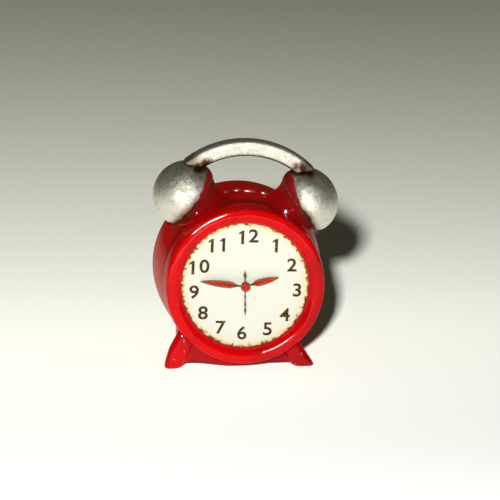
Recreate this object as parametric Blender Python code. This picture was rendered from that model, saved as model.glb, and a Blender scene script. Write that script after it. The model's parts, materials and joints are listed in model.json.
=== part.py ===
# Miniature twin-bell alarm clock, built as an assembly of separate pieces.
# Metres, +Z up, the dial faces -Y, the feet stand on Z = 0.

import math

import bmesh
import bpy
from mathutils import Matrix, Vector

for leftover in list(bpy.data.objects):
    bpy.data.objects.remove(leftover, do_unlink=True)

MM = 0.001
TURN = math.tau
QUARTER = math.pi / 2

# Clearances
SEAT_GAP = 0.05 * MM
PRESS_GAP = 0.02 * MM
RUN_GAP = 0.04 * MM
LEVEL_GAP = 0.3 * MM
PLATE_GAP = 0.25 * MM
CUT_OVERRUN = 1.0 * MM
MERGE = 0.0001 * MM
FILL_ENLARGEMENT = 1000

# Dial and hands. Depths are measured back from the dial's face.
DIAL_THICKNESS = 0.4 * MM
ALARM_HAND_LIFT = 0.2 * MM
HOUR_HAND_LIFT = 0.5 * MM
MINUTE_HAND_LIFT = 0.84 * MM
HAND_THICKNESS = 0.16 * MM
MINUTE_HAND_LENGTH = 8.0 * MM
HOUR_HAND_LENGTH = 6.1 * MM
HAND_WIDTH = 0.95 * MM
HAND_STEM_WIDTH = 0.24 * MM
ALARM_HAND_LENGTH = 5.3 * MM
ALARM_HAND_TAIL = 2.7 * MM
ALARM_HAND_WIDTH = 0.26 * MM
ALARM_DIAMOND_WIDTH = 0.6 * MM
HAND_HUB_RADIUS = 0.76 * MM
CAP_RADIUS = 0.82 * MM
CAP_HEIGHT = 0.5 * MM
CAP_RIM_SHARE = 0.33
MINUTE_HAND_ANGLE = math.radians(274)
HOUR_HAND_ANGLE = math.radians(72.6)
ALARM_HAND_ANGLE = math.radians(176)

# Centre arbor and the pipes that run on it
MINUTE_ARBOR_RADIUS = 0.25 * MM
PIPE_WALL = 0.14 * MM
PIPE_STEPS = 20
HOUR_PIPE_BORE = MINUTE_ARBOR_RADIUS + RUN_GAP
HOUR_PIPE_RADIUS = HOUR_PIPE_BORE + PIPE_WALL
ALARM_PIPE_BORE = HOUR_PIPE_RADIUS + RUN_GAP
ALARM_PIPE_RADIUS = ALARM_PIPE_BORE + PIPE_WALL

# Levels of the movement, from the dial to the rear plate
WHEEL_THICKNESS = 0.4 * MM
PINION_THICKNESS = 0.55 * MM
FRONT_PLATE_THICKNESS = 0.7 * MM
REAR_PLATE_THICKNESS = 0.6 * MM
ALARM_WHEEL_FRONT = DIAL_THICKNESS + LEVEL_GAP
HOUR_WHEEL_FRONT = ALARM_WHEEL_FRONT + WHEEL_THICKNESS + LEVEL_GAP
MINUTE_WHEEL_FRONT = HOUR_WHEEL_FRONT + WHEEL_THICKNESS + LEVEL_GAP
FRONT_PLATE_FRONT = MINUTE_WHEEL_FRONT + PINION_THICKNESS + PLATE_GAP
FRONT_PLATE_BACK = FRONT_PLATE_FRONT + FRONT_PLATE_THICKNESS
CENTRE_WHEEL_FRONT = FRONT_PLATE_BACK + LEVEL_GAP
THIRD_WHEEL_FRONT = CENTRE_WHEEL_FRONT + WHEEL_THICKNESS + LEVEL_GAP
INTERMEDIATE_WHEEL_FRONT = THIRD_WHEEL_FRONT + WHEEL_THICKNESS + LEVEL_GAP
REAR_PLATE_FRONT = INTERMEDIATE_WHEEL_FRONT + PINION_THICKNESS + PLATE_GAP
REAR_PLATE_BACK = REAR_PLATE_FRONT + REAR_PLATE_THICKNESS

# Gear centre distances, and their directions round the hub and from one arbor to the next
MOTION_CENTRES = 3.6 * MM
ALARM_CENTRES = 4.48 * MM
THIRD_CENTRES = 3.36 * MM
INTERMEDIATE_CENTRES = 2.6 * MM
ROTOR_CENTRES = 2.64 * MM
SETTING_DIRECTION = math.radians(150)
ALARM_DIRECTION = math.radians(30)
THIRD_DIRECTION = math.radians(100)
INTERMEDIATE_DIRECTION = math.radians(60)
ROTOR_DIRECTION = math.radians(-10)

# Tooth counts
CANNON_TEETH = 12
MINUTE_WHEEL_TEETH = 36
MINUTE_PINION_TEETH = 10
HOUR_WHEEL_TEETH = 40
ALARM_WHEEL_TEETH = 36
ALARM_PINION_TEETH = 20
CENTRE_WHEEL_TEETH = 40
THIRD_PINION_TEETH = 8
THIRD_WHEEL_TEETH = 32
INTERMEDIATE_PINION_TEETH = 8
INTERMEDIATE_WHEEL_TEETH = 36
ROTOR_PINION_TEETH = 8
ADDENDUM_SHARE = 0.9
DEDENDUM_SHARE = 1.2
TOOTH_ROOT_SHARE = 0.3
TOOTH_TIP_SHARE = 0.12

# Arbors
SETTING_ARBOR_RADIUS = 0.4 * MM
SETTING_ARBOR_END = 0.15 * MM
ALARM_ARBOR_END = 0.08 * MM
TRAIN_ARBOR_RADIUS = 0.2 * MM
TRAIN_PIVOT_RADIUS = 0.12 * MM
ARBOR_STEPS = 16

# Stepping motor
STATOR_FRONT = FRONT_PLATE_BACK + WHEEL_THICKNESS
STATOR_THICKNESS = 0.4 * MM
STATOR_HOLE_RADIUS = 1.0 * MM
STATOR_EYE_RADIUS = 1.45 * MM
STATOR_HALF_LENGTH = 4.6 * MM
STATOR_ARM_WIDTH = 1.3 * MM
ROTOR_MAGNET_RADIUS = 0.8 * MM
ROTOR_MAGNET_FRONT = STATOR_FRONT + SEAT_GAP
ROTOR_MAGNET_THICKNESS = 0.8 * MM
COIL_OFFSET = 3.0 * MM
COIL_CORE_WIDTH = 0.8 * MM
COIL_CORE_THICKNESS = 0.4 * MM
COIL_TAB_WIDTH = 0.8 * MM
COIL_RADIUS = 1.0 * MM
COIL_END_GAP = 0.4 * MM
COIL_LENGTH = 2 * (STATOR_HALF_LENGTH - COIL_TAB_WIDTH - COIL_END_GAP)


# Places of the arbors

def polar(distance, direction):
    """A place in the XZ plane."""
    return (distance * math.cos(direction), distance * math.sin(direction))


def offset(place, distance, direction):
    """A place at a distance and direction from another one."""
    step = polar(distance, direction)
    return (place[0] + step[0], place[1] + step[1])


SETTING_PLACE = polar(MOTION_CENTRES, SETTING_DIRECTION)
ALARM_PLACE = polar(ALARM_CENTRES, ALARM_DIRECTION)
THIRD_PLACE = polar(THIRD_CENTRES, THIRD_DIRECTION)
INTERMEDIATE_PLACE = offset(THIRD_PLACE, INTERMEDIATE_CENTRES, INTERMEDIATE_DIRECTION)
ROTOR_PLACE = offset(INTERMEDIATE_PLACE, ROTOR_CENTRES, ROTOR_DIRECTION)

# Movement ring, plates, pillars and circuit board, round the coil's outermost corner
COIL_REACH = math.hypot(math.hypot(*ROTOR_PLACE) + COIL_OFFSET + COIL_RADIUS, COIL_LENGTH / 2)
COIL_ROOM = 0.11 * MM
PLATE_INSET = 0.15 * MM
RING_WALL = 2.35 * MM
RING_BORE = COIL_REACH + COIL_ROOM
PLATE_RADIUS = RING_BORE - PLATE_INSET
PLATE_STEPS = 36
PILLAR_RADIUS = 0.6 * MM
PILLAR_PIN_RADIUS = 0.3 * MM
PILLAR_INSET = 1.4 * MM
PILLAR_DIRECTIONS = (math.radians(130), math.radians(215), math.radians(335))
PILLAR_PLACES = [polar(PLATE_RADIUS - PILLAR_INSET, direction) for direction in PILLAR_DIRECTIONS]
BOARD_THICKNESS = 0.4 * MM
BOARD_INSET = 0.6 * MM
BOARD_RADIUS = PLATE_RADIUS - BOARD_INSET
BOARD_FRONT = REAR_PLATE_BACK + SEAT_GAP
BOARD_BACK = BOARD_FRONT + BOARD_THICKNESS

# Battery bay, from the board to the hatch
CELL_RADIUS = 3.95 * MM
CELL_HEIGHT = 5.4 * MM
CELL_CAP_RADIUS = 2.9 * MM
CELL_CAP_HEIGHT = 0.25 * MM
CELL_END_GAP = 0.1 * MM
SPRING_THICKNESS = 0.12 * MM
SPRING_WIDTH = 1.6 * MM
SPRING_LENGTH = 5.0 * MM
SPRING_ROOM = 0.6 * MM
HOLDER_WALL = 0.6 * MM
HOLDER_RISE = 4.15 * MM
HOLDER_FLOOR = 0.5 * MM
HOLDER_FLOOR_FRONT = BOARD_BACK + HOLDER_RISE
CELL_FRONT = HOLDER_FLOOR_FRONT + HOLDER_FLOOR + SPRING_ROOM
HATCH_INNER = CELL_FRONT + CELL_HEIGHT + CELL_END_GAP

# Case drum, round the movement ring and as deep as the cover
COVER_FIT = 0.1 * MM
COVER_RECESS = 0.2 * MM
COVER_WALL = 1.1 * MM
HATCH_PLUG_REACH = 0.3 * MM
COVER_WALL_FRONT = HATCH_INNER + HATCH_PLUG_REACH
COVER_FACE = COVER_WALL_FRONT + COVER_WALL
CASE_FRONT = 2.8 * MM
CASE_REAR = COVER_FACE + COVER_RECESS
CASE_SHOULDER_DEPTH = 2.0 * MM
CASE_WIDEST = CASE_REAR - CASE_SHOULDER_DEPTH
CASE_FRONT_WALL = 0.35 * MM
CASE_RIM_WALL = 0.6 * MM
CASE_SWELL = 1.5 * MM
CASE_BORE = RING_BORE + RING_WALL + COVER_FIT
CASE_FRONT_RADIUS = CASE_BORE + CASE_FRONT_WALL
CASE_RADIUS = CASE_FRONT_RADIUS + CASE_SWELL
CASE_RIM_RADIUS = CASE_BORE + CASE_RIM_WALL
CASE_STEPS = 60

# Bezel ring
BEZEL_OVERHANG = 0.55 * MM
BEZEL_WIDTH = 3.0 * MM
BEZEL_CREST_INSET = 1.55 * MM
BEZEL_CREST = 1.6 * MM
BEZEL_SPIGOT_DEPTH = 1.3 * MM
BEZEL_SPIGOT = CASE_FRONT + BEZEL_SPIGOT_DEPTH
BEZEL_SPIGOT_WALL = 1.3 * MM
BEZEL_OUTER = CASE_FRONT_RADIUS + BEZEL_OVERHANG
BEZEL_INNER = BEZEL_OUTER - BEZEL_WIDTH
BEZEL_CREST_RADIUS = BEZEL_OUTER - BEZEL_CREST_INSET
SPIGOT_RADIUS = CASE_BORE - SEAT_GAP
SPIGOT_BORE = SPIGOT_RADIUS - BEZEL_SPIGOT_WALL
RING_LIP_RADIUS = SPIGOT_BORE - PLATE_INSET

# Back cover and what it carries
COVER_STEP = 0.4 * MM
COVER_RIM_WIDTH = 1.3 * MM
COVER_SKIRT_WALL = 0.8 * MM
COVER_OUTER = CASE_BORE - COVER_FIT
COVER_INNER = COVER_OUTER - COVER_SKIRT_WALL
COVER_PANEL_RADIUS = COVER_OUTER - COVER_RIM_WIDTH
COVER_RIM_FACE = COVER_FACE - COVER_STEP
HATCH_RADIUS = 4.6 * MM
HATCH_PLUG_RADIUS = 4.1 * MM
HATCH_MARGIN = 0.8 * MM
HATCH_LEDGE_DEPTH = 0.35 * MM
HATCH_CENTRE_Z = HATCH_RADIUS + HATCH_MARGIN - COVER_PANEL_RADIUS
HATCH_LEDGE = COVER_WALL_FRONT + HATCH_LEDGE_DEPTH
COIN_SLOT_LENGTH = 5.0 * MM
COIN_SLOT_WIDTH = 0.8 * MM
COIN_SLOT_DEPTH = 0.4 * MM
SOUNDER_RADIUS = 4.0 * MM
SOUNDER_THICKNESS = 0.4 * MM
SOUNDER_MARGIN = 0.5 * MM
SOUNDER_CENTRE_Z = COVER_INNER - SOUNDER_RADIUS - SOUNDER_MARGIN
SOUND_SLOT_WIDTH = 0.6 * MM
SOUND_SLOT_COUNT = 5
SOUND_SLOT_REACH = 3.3 * MM
SOUND_SLOT_SPREAD_SHARE = 0.85
SOUND_SLOT_PITCH = 2 * SOUND_SLOT_SPREAD_SHARE * SOUND_SLOT_REACH / (SOUND_SLOT_COUNT - 1)
KNOB_GAP = 0.3 * MM
KNOB_FRONT = COVER_FACE + KNOB_GAP
TIME_KNOB_RADIUS = 2.6 * MM
TIME_KNOB_THICKNESS = 2.2 * MM
ALARM_KNOB_RADIUS = 2.2 * MM
ALARM_KNOB_THICKNESS = 2.0 * MM
KNOB_GROOVES = 18
KNOB_GROOVE_DEPTH = 0.22 * MM
SWITCH_INSET = 2.8 * MM
SWITCH_X = COVER_PANEL_RADIUS - SWITCH_INSET
SWITCH_Z = -1.0 * MM
SWITCH_TRAVEL = 2.0 * MM
SWITCH_STEM_WIDTH = 1.1 * MM
SWITCH_STEM_LENGTH = 1.5 * MM
SWITCH_BUTTON_WIDTH = 1.8 * MM
SWITCH_BUTTON_LENGTH = 2.2 * MM
SWITCH_BUTTON_HEIGHT = 0.8 * MM
SWITCH_FLANGE_WIDTH = 2.2 * MM
SWITCH_FLANGE_LENGTH = 2.8 * MM
SWITCH_FLANGE_THICKNESS = 0.35 * MM

# Bells, their seats and studs. The bells sit over the front half of the drum.
BELL_DEPTH = 7.6 * MM
BELL_STANDOFF = 2.65 * MM
BELL_DIRECTION = math.radians(36.75)
BELL_TILT = math.radians(54)
BELL_RADIUS = 6.0 * MM
BELL_HEIGHT = 5.9 * MM
BELL_WALL = 0.5 * MM
BELL_RIM_X = (CASE_RADIUS + BELL_STANDOFF) * math.sin(BELL_DIRECTION)
BELL_RIM_Z = (CASE_RADIUS + BELL_STANDOFF) * math.cos(BELL_DIRECTION)
BELL_STEPS = 32
BELL_ROWS = 7
DOME_STEPS = 48
DOME_ROWS = 10
SEAT_INSET = 0.25 * MM
SEAT_LIP = 0.35 * MM
SEAT_NECK = 1.15 * MM
SEAT_TAPER = 0.3 * MM
SEAT_WAIST_DEPTH = 2.0 * MM
SEAT_DEPTH = 7.0 * MM
SEAT_TOP_RADIUS = BELL_RADIUS - SEAT_INSET
SEAT_WAIST_RADIUS = SEAT_TOP_RADIUS - SEAT_NECK
SEAT_FOOT_RADIUS = SEAT_WAIST_RADIUS - SEAT_TAPER
STUD_RADIUS = 0.8 * MM
STUD_COLLAR_RADIUS = 1.6 * MM
STUD_COLLAR = 0.6 * MM
STUD_REACH = 2.5 * MM
STUD_CROWN_GAP = 0.15 * MM

# Handle, with room for a fingertip over the drum
FINGER_ROOM = 7.0 * MM
HANDLE_ARCH_RADIUS = 17.0 * MM
HANDLE_THICKNESS = 2.45 * MM
HANDLE_END_THICKNESS = 2.9 * MM
HANDLE_WIDTH = 4.0 * MM
HANDLE_END_REACH = 1.31 * MM
HANDLE_TOP = CASE_RADIUS + FINGER_ROOM + HANDLE_THICKNESS
HANDLE_HALF_SPAN = BELL_RIM_X + HANDLE_END_REACH
HANDLE_STEPS = 22
HANDLE_SECTION_STEPS = 12
HANDLE_ROUND_END_SHARE = 0.16
HANDLE_END_SHRINK_SHARE = 0.9
HANDLE_SQUARE_SHARE = 0.7
HANDLE_PIN_INSET = 1.19 * MM
HANDLE_PIN_X = BELL_RIM_X - HANDLE_PIN_INSET
HANDLE_PIN_RADIUS = 0.45 * MM
HANDLE_PIN_RISE = 1.0 * MM
HANDLE_PIN_DROP = 1.1 * MM

# Where the clock stands
HUB_X = -0.98 * MM
DRUM_LIFT = 0.25 * MM
HUB_HEIGHT = CASE_RADIUS + DRUM_LIFT
DIAL_FACE_Y = -10.1 * MM
BODY_TURN = math.radians(4)

# Stand: two splayed feet, the web between them and the keel behind it
FOOT_SETBACK = 0.2 * MM
FOOT_DEPTH = 5.6 * MM
FOOT_FRONT = CASE_FRONT + FOOT_SETBACK
FOOT_REAR = FOOT_FRONT + FOOT_DEPTH
WEB_SETBACK = 1.1 * MM
WEB_REAR_SETBACK = 0.6 * MM
WEB_FRONT = FOOT_FRONT + WEB_SETBACK
WEB_REAR = FOOT_REAR - WEB_REAR_SETBACK
KEEL_SETBACK = 1.5 * MM
KEEL_REAR = CASE_REAR - KEEL_SETBACK
KEEL_HALF_WIDTH = 2.6 * MM
KEEL_HEIGHT = 2.1 * MM
FOOT_ROUNDING = 0.45 * MM
LEFT_ROOT_DIRECTION = math.radians(48.09)
RIGHT_ROOT_DIRECTION = math.radians(30.33)
LEFT_FOOT_SPLAY = 2.55 * MM
RIGHT_FOOT_SPLAY = 4.4 * MM
LEFT_FOOT_ROOT = CASE_RADIUS * math.sin(LEFT_ROOT_DIRECTION)
RIGHT_FOOT_ROOT = CASE_RADIUS * math.sin(RIGHT_ROOT_DIRECTION)
LEFT_FOOT_REACH = LEFT_FOOT_ROOT + LEFT_FOOT_SPLAY
RIGHT_FOOT_REACH = RIGHT_FOOT_ROOT + RIGHT_FOOT_SPLAY
FOOT_ROOT_SHARE = 0.484
FOOT_ROOT_HEIGHT = HUB_HEIGHT * FOOT_ROOT_SHARE
FOOT_TIP_HEIGHT = 1.3 * MM
FOOT_SOLE_WIDTH = 2.1 * MM
FOOT_TOE = 0.45 * MM
FOOT_SIDE_SHARES = ((0.5, 1.6), (0.0, 1.0), (0.25, 0.5))
FOOT_INSTEP_SHARE = 0.25
FOOT_INNER_LENGTH = 4.4 * MM
ARCH_HEIGHT = 1.05 * MM
LEFT_ARCH_INSET = 4.25 * MM
RIGHT_ARCH_INSET = 5.6 * MM
LEFT_ARCH = LEFT_FOOT_REACH - LEFT_ARCH_INSET
RIGHT_ARCH = RIGHT_FOOT_REACH - RIGHT_ARCH_INSET
WEB_DIP_X = -1.3 * MM
STAND_SCREW_RADIUS = 0.5 * MM
STAND_SCREW_HEAD_RADIUS = 1.0 * MM
STAND_SCREW_HEAD = 0.5 * MM
STAND_SCREW_DEPTH = (FOOT_FRONT + FOOT_REAR) / 2
STAND_SCREW_LENGTH = 2.9 * MM
STAND_SCREW_DIRECTION = math.radians(38)


# Frames: the clock turns a little about its own axis on a level stand

clock = bpy.data.objects.new("clock_axis", None)
clock.location = (HUB_X, DIAL_FACE_Y, HUB_HEIGHT)
clock.rotation_euler = (0.0, BODY_TURN, 0.0)
bpy.context.collection.objects.link(clock)

ground = bpy.data.objects.new("stand_axis", None)
ground.location = (HUB_X, DIAL_FACE_Y, 0.0)
bpy.context.collection.objects.link(ground)


# Materials

def finish(name, colour, roughness, metallic=0.0):
    """A plain Principled finish."""
    material = bpy.data.materials.new(name)
    material.use_nodes = True
    shader = material.node_tree.nodes["Principled BSDF"]
    shader.inputs["Base Color"].default_value = (*colour, 1.0)
    shader.inputs["Roughness"].default_value = roughness
    shader.inputs["Metallic"].default_value = metallic
    material.diffuse_color = (*colour, 1.0)
    return material


RED = (0.55, 0.01, 0.012)
CREAM = (0.86, 0.82, 0.68)
SILVER = (0.55, 0.54, 0.48)
BRASS = (0.62, 0.43, 0.16)
STEEL = (0.45, 0.46, 0.47)
BLACK = (0.03, 0.03, 0.03)
WHITE = (0.75, 0.75, 0.72)
GREEN = (0.03, 0.16, 0.07)
COPPER = (0.60, 0.22, 0.10)
OLIVE = (0.16, 0.13, 0.05)


# Shapes

def circle(radius, steps, centre=(0.0, 0.0)):
    """Points round a circle in the XZ plane."""
    return [offset(centre, radius, TURN * i / steps) for i in range(steps)]


def arc(centre_r, centre_s, radius_r, radius_s, start, end, steps):
    """Points along part of an ellipse, as (radius, depth)."""
    angles = [start + (end - start) * i / steps for i in range(steps + 1)]
    return [(centre_r + radius_r * math.cos(a), centre_s + radius_s * math.sin(a)) for a in angles]


def box_outline(width, length, centre=(0.0, 0.0)):
    """A rectangle in the XZ plane."""
    corners = ((-1, -1), (1, -1), (1, 1), (-1, 1))
    return [(centre[0] + x * width / 2, centre[1] + z * length / 2) for x, z in corners]


def turned(profile, steps):
    """Spin a closed outline of (radius, depth) points about the Y axis."""
    bm = bmesh.new()
    ring = [bm.verts.new((r, s, 0.0)) for r, s in profile]
    pairs = zip(ring, ring[1:] + ring[:1])
    edges = [bm.edges.new(pair) for pair in pairs if pair[0].co.x > MERGE or pair[1].co.x > MERGE]
    bmesh.ops.spin(bm, geom=ring + edges, cent=(0.0, 0.0, 0.0), axis=(0.0, 1.0, 0.0),
                   angle=TURN, steps=steps, use_merge=True)
    bmesh.ops.remove_doubles(bm, verts=bm.verts[:], dist=MERGE)
    return bm


def plate(outline, holes, front, back):
    """A flat piece with holes, extruded along Y."""
    bm = bmesh.new()
    edges = []
    for loop in [outline] + list(holes):
        verts = [bm.verts.new(Vector((x, front, z)) * FILL_ENLARGEMENT) for x, z in loop]
        edges += [bm.edges.new(pair) for pair in zip(verts, verts[1:] + verts[:1])]
    bmesh.ops.triangle_fill(bm, use_beauty=True, edges=edges)
    bmesh.ops.scale(bm, verts=bm.verts[:], vec=[1 / FILL_ENLARGEMENT] * 3)
    grown = bmesh.ops.extrude_face_region(bm, geom=bm.faces[:], use_keep_orig=True)
    moved = [item for item in grown["geom"] if isinstance(item, bmesh.types.BMVert)]
    bmesh.ops.translate(bm, verts=moved, vec=(0.0, back - front, 0.0))
    return bm


def lofted(rings):
    """Skin closed rings of points, with a flat cap on each end."""
    bm = bmesh.new()
    rows = [[bm.verts.new(point) for point in ring] for ring in rings]
    for row, following in zip(rows, rows[1:]):
        for i in range(len(row)):
            j = (i + 1) % len(row)
            bm.faces.new((row[i], row[j], following[j], following[i]))
    bm.faces.new(rows[0])
    bm.faces.new(rows[-1])
    return bm


def build(name, bm, material, parent=clock, location=(0.0, 0.0, 0.0), rotation=(0.0, 0.0, 0.0)):
    """Make one named object of a mesh."""
    bmesh.ops.recalc_face_normals(bm, faces=bm.faces[:])
    mesh = bpy.data.meshes.new(name)
    bm.to_mesh(mesh)
    bm.free()
    mesh.shade_smooth()
    mesh.set_sharp_from_angle(angle=math.radians(35))
    mesh.materials.append(material)
    piece = bpy.data.objects.new(name, mesh)
    piece.parent = parent
    piece.location = location
    piece.rotation_euler = rotation
    bpy.context.collection.objects.link(piece)
    return piece


def form(name, bm, **place):
    """A helper shape that only cuts or joins."""
    helper = build(name, bm, finish(name, WHITE, 0.5), **place)
    helper.hide_render = True
    helper.display_type = "WIRE"
    return helper


def combine(piece, helper, operation):
    """Join a helper shape to a piece, or cut it away."""
    modifier = piece.modifiers.new(f"{operation.lower()} {helper.name}", "BOOLEAN")
    modifier.operation = operation
    modifier.object = helper
    modifier.solver = "EXACT"


def tilt_to(direction):
    """Turn about Y that lays local +Z along a direction in the XZ plane, clockwise from up."""
    return (0.0, direction, 0.0)


# Gears

def gear_module(centres, first, second):
    """Module that makes two tooth counts fit a centre distance."""
    return 2 * centres / (first + second)


def gear_outline(teeth, module, tooth_at):
    """Plain tapered teeth, with one tooth centred on the given direction."""
    pitch = TURN / teeth
    tip = module * (teeth / 2 + ADDENDUM_SHARE)
    root = module * (teeth / 2 - DEDENDUM_SHARE)
    points = []
    for i in range(teeth):
        middle = tooth_at + pitch * i
        points.append(polar(root, middle - pitch * TOOTH_ROOT_SHARE))
        points.append(polar(tip, middle - pitch * TOOTH_TIP_SHARE))
        points.append(polar(tip, middle + pitch * TOOTH_TIP_SHARE))
        points.append(polar(root, middle + pitch * TOOTH_ROOT_SHARE))
    return points


def gear(name, teeth, module, tooth_at, bore, front, thickness, material, place=(0.0, 0.0)):
    """A wheel or pinion with a round bore, on its own axis."""
    outline = gear_outline(teeth, module, tooth_at)
    bm = plate(outline, [circle(bore, ARBOR_STEPS)], front, front + thickness)
    return build(name, bm, material, location=(place[0], 0.0, place[1]))


def gap_at(direction, teeth):
    """Tooth direction that leaves a gap between teeth at the given direction."""
    return direction + TURN / teeth / 2


def rod(name, steps, material, place=(0.0, 0.0), sides=ARBOR_STEPS):
    """A turned rod: (radius, front, back) for each step in turn, front to back."""
    profile = [(0.0, steps[0][1])]
    for radius, front, back in steps:
        profile += [(radius, front), (radius, back)]
    profile.append((0.0, steps[-1][2]))
    return build(name, turned(profile, sides), material, location=(place[0], 0.0, place[1]))


def tube(name, bore, radius, front, back, material, sides=PIPE_STEPS):
    """A plain pipe about the hub."""
    profile = [(bore, front), (radius, front), (radius, back), (bore, back)]
    return build(name, turned(profile, sides), material)


# Case

def case_outline(grow=0.0):
    """The drum's outer side as (radius, depth), front to back, swelling and then rounding in."""
    swell_steps = 6
    side = []
    for i in range(swell_steps + 1):
        share = i / swell_steps
        radius = CASE_FRONT_RADIUS + (CASE_RADIUS - CASE_FRONT_RADIUS) * math.sin(QUARTER * share)
        side.append((radius + grow, CASE_FRONT + (CASE_WIDEST - CASE_FRONT) * share))
    shoulder = arc(CASE_RIM_RADIUS, CASE_WIDEST, CASE_RADIUS - CASE_RIM_RADIUS, CASE_SHOULDER_DEPTH,
                   0.0, QUARTER, 6)
    return side + [(radius + grow, depth) for radius, depth in shoulder[1:]]


def bell_rim_centre(side):
    """Middle of a bell's rim; side is -1 on the left and 1 on the right."""
    return Vector((side * BELL_RIM_X, BELL_DEPTH, BELL_RIM_Z))


def bell_turn(side):
    """Rotation that takes a shape turned about Y onto a bell's axis."""
    axis = Vector((side * math.sin(BELL_TILT), 0.0, math.cos(BELL_TILT)))
    return Vector((0.0, 1.0, 0.0)).rotation_difference(axis).to_euler()


def stand_screw_shape(grow):
    """Countersunk screw pointing away from the hub along -Z."""
    head = CASE_BORE - grow
    shank = CASE_BORE + STAND_SCREW_HEAD
    point = CASE_BORE + STAND_SCREW_LENGTH + grow
    wide = STAND_SCREW_HEAD_RADIUS + grow
    thin = STAND_SCREW_RADIUS + grow
    profile = [(0.0, head), (wide, head), (thin, shank), (thin, point), (0.0, point)]
    if grow > 0.0:
        profile.insert(2, (wide, CASE_BORE))
    bm = turned(profile, ARBOR_STEPS)
    bmesh.ops.rotate(bm, verts=bm.verts[:], matrix=Matrix.Rotation(-QUARTER, 3, "X"))
    return bm


def stand_screw_place(side):
    """Each screw points from the hub into a foot."""
    return {"location": (0.0, STAND_SCREW_DEPTH, 0.0), "rotation": (0.0, side * -STAND_SCREW_DIRECTION, 0.0)}


def make_case():
    """Open drum with two flared bell seats grown on its side."""
    red = finish("case_enamel", RED, 0.25)
    profile = [(CASE_BORE, CASE_FRONT)] + case_outline() + [(CASE_BORE, CASE_REAR)]
    case = build("case_shell", turned(profile, CASE_STEPS), red)
    core_radius = (CASE_BORE + CASE_FRONT_RADIUS) / 2
    core_profile = [(0.0, CASE_FRONT), (core_radius, CASE_FRONT), (core_radius, CASE_REAR), (0.0, CASE_REAR)]
    core = form("seat_trim_form", turned(core_profile, CASE_STEPS))
    hole = STUD_RADIUS + SEAT_GAP
    hole_end = -STUD_REACH - SEAT_GAP
    seat_profile = [(0.0, hole_end), (hole, hole_end), (hole, 0.0),
                    (SEAT_TOP_RADIUS, 0.0), (SEAT_TOP_RADIUS, -SEAT_LIP),
                    (SEAT_WAIST_RADIUS, -SEAT_WAIST_DEPTH),
                    (SEAT_FOOT_RADIUS, -SEAT_DEPTH), (0.0, -SEAT_DEPTH)]
    for side, label in ((-1, "left"), (1, "right")):
        seat = form(f"{label}_seat_form", turned(seat_profile, BELL_STEPS),
                    location=bell_rim_centre(side), rotation=bell_turn(side))
        combine(seat, core, "DIFFERENCE")
        combine(case, seat, "UNION")
    for side, label in ((-1, "left"), (1, "right")):
        cut = form(f"{label}_screw_hole_form", stand_screw_shape(SEAT_GAP), **stand_screw_place(side))
        combine(case, cut, "DIFFERENCE")


def make_bezel():
    """Rounded ring that stands proud of the dial, with a spigot that fits the drum."""
    rear = CASE_FRONT - SEAT_GAP
    inner_arc = arc(BEZEL_CREST_RADIUS, -SEAT_GAP, BEZEL_CREST_RADIUS - BEZEL_INNER,
                    BEZEL_CREST - SEAT_GAP, math.pi, 3 * QUARTER, 6)
    outer_arc = arc(BEZEL_CREST_RADIUS, rear, BEZEL_OUTER - BEZEL_CREST_RADIUS,
                    BEZEL_CREST + rear, 3 * QUARTER, TURN, 7)
    profile = inner_arc + outer_arc[1:] + [
        (SPIGOT_RADIUS, rear), (SPIGOT_RADIUS, BEZEL_SPIGOT), (SPIGOT_BORE, BEZEL_SPIGOT),
        (SPIGOT_BORE, -SEAT_GAP)]
    build("bezel_ring", turned(profile, CASE_STEPS), finish("bezel_enamel", RED, 0.2))


def make_dial():
    """Thin disc held behind the bezel's lip, with a hole for the pipes."""
    radius = SPIGOT_BORE - SEAT_GAP
    hole = ALARM_PIPE_RADIUS + RUN_GAP
    profile = [(hole, 0.0), (radius, 0.0), (radius, DIAL_THICKNESS), (hole, DIAL_THICKNESS)]
    build("dial_plate", turned(profile, PLATE_STEPS), finish("dial_paper", CREAM, 0.6))


# Hands

def hand_outline(length, width):
    """A leaf blade on a thin stem with a round hub, pointing up."""
    half_stem = HAND_STEM_WIDTH / 2
    root = math.sqrt(HAND_HUB_RADIUS ** 2 - half_stem ** 2)
    start = math.asin(half_stem / HAND_HUB_RADIUS)
    hub_steps = 16
    step = (TURN - 2 * start) / hub_steps
    hub = [(HAND_HUB_RADIUS * math.sin(start + step * i), HAND_HUB_RADIUS * math.cos(start + step * i))
           for i in range(1, hub_steps)]
    leaf_shares = ((0.3, 0.25), (0.45, 0.72), (0.58, 1.0), (0.72, 0.92), (0.86, 0.55))
    right = [(half_stem + (width / 2 - half_stem) * w, root + (length - root) * l) for l, w in leaf_shares]
    left = [(-x, z) for x, z in reversed(right)]
    return [(half_stem, root)] + right + [(0.0, length)] + left + [(-half_stem, root)] + hub[::-1]


def alarm_hand_outline():
    """A thin needle with a small diamond on its tail and a round hub, pointing up."""
    half = ALARM_HAND_WIDTH / 2
    start = math.asin(half / HAND_HUB_RADIUS)
    root = HAND_HUB_RADIUS * math.cos(start)
    side_steps = 7
    span = math.pi - 2 * start
    right_hub = [(HAND_HUB_RADIUS * math.sin(start + span * i / side_steps),
                  HAND_HUB_RADIUS * math.cos(start + span * i / side_steps)) for i in range(1, side_steps)]
    diamond = ALARM_DIAMOND_WIDTH / 2
    right = [(half, root)] + right_hub + [(half, -root), (half, -ALARM_HAND_TAIL + 2 * ALARM_DIAMOND_WIDTH),
                                          (diamond, -ALARM_HAND_TAIL + ALARM_DIAMOND_WIDTH)]
    left = [(-x, z) for x, z in reversed(right)]
    tip_half = half / 2
    return ([(tip_half, ALARM_HAND_LENGTH)] + right + [(0.0, -ALARM_HAND_TAIL)] + left
            + [(-tip_half, ALARM_HAND_LENGTH)])


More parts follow.
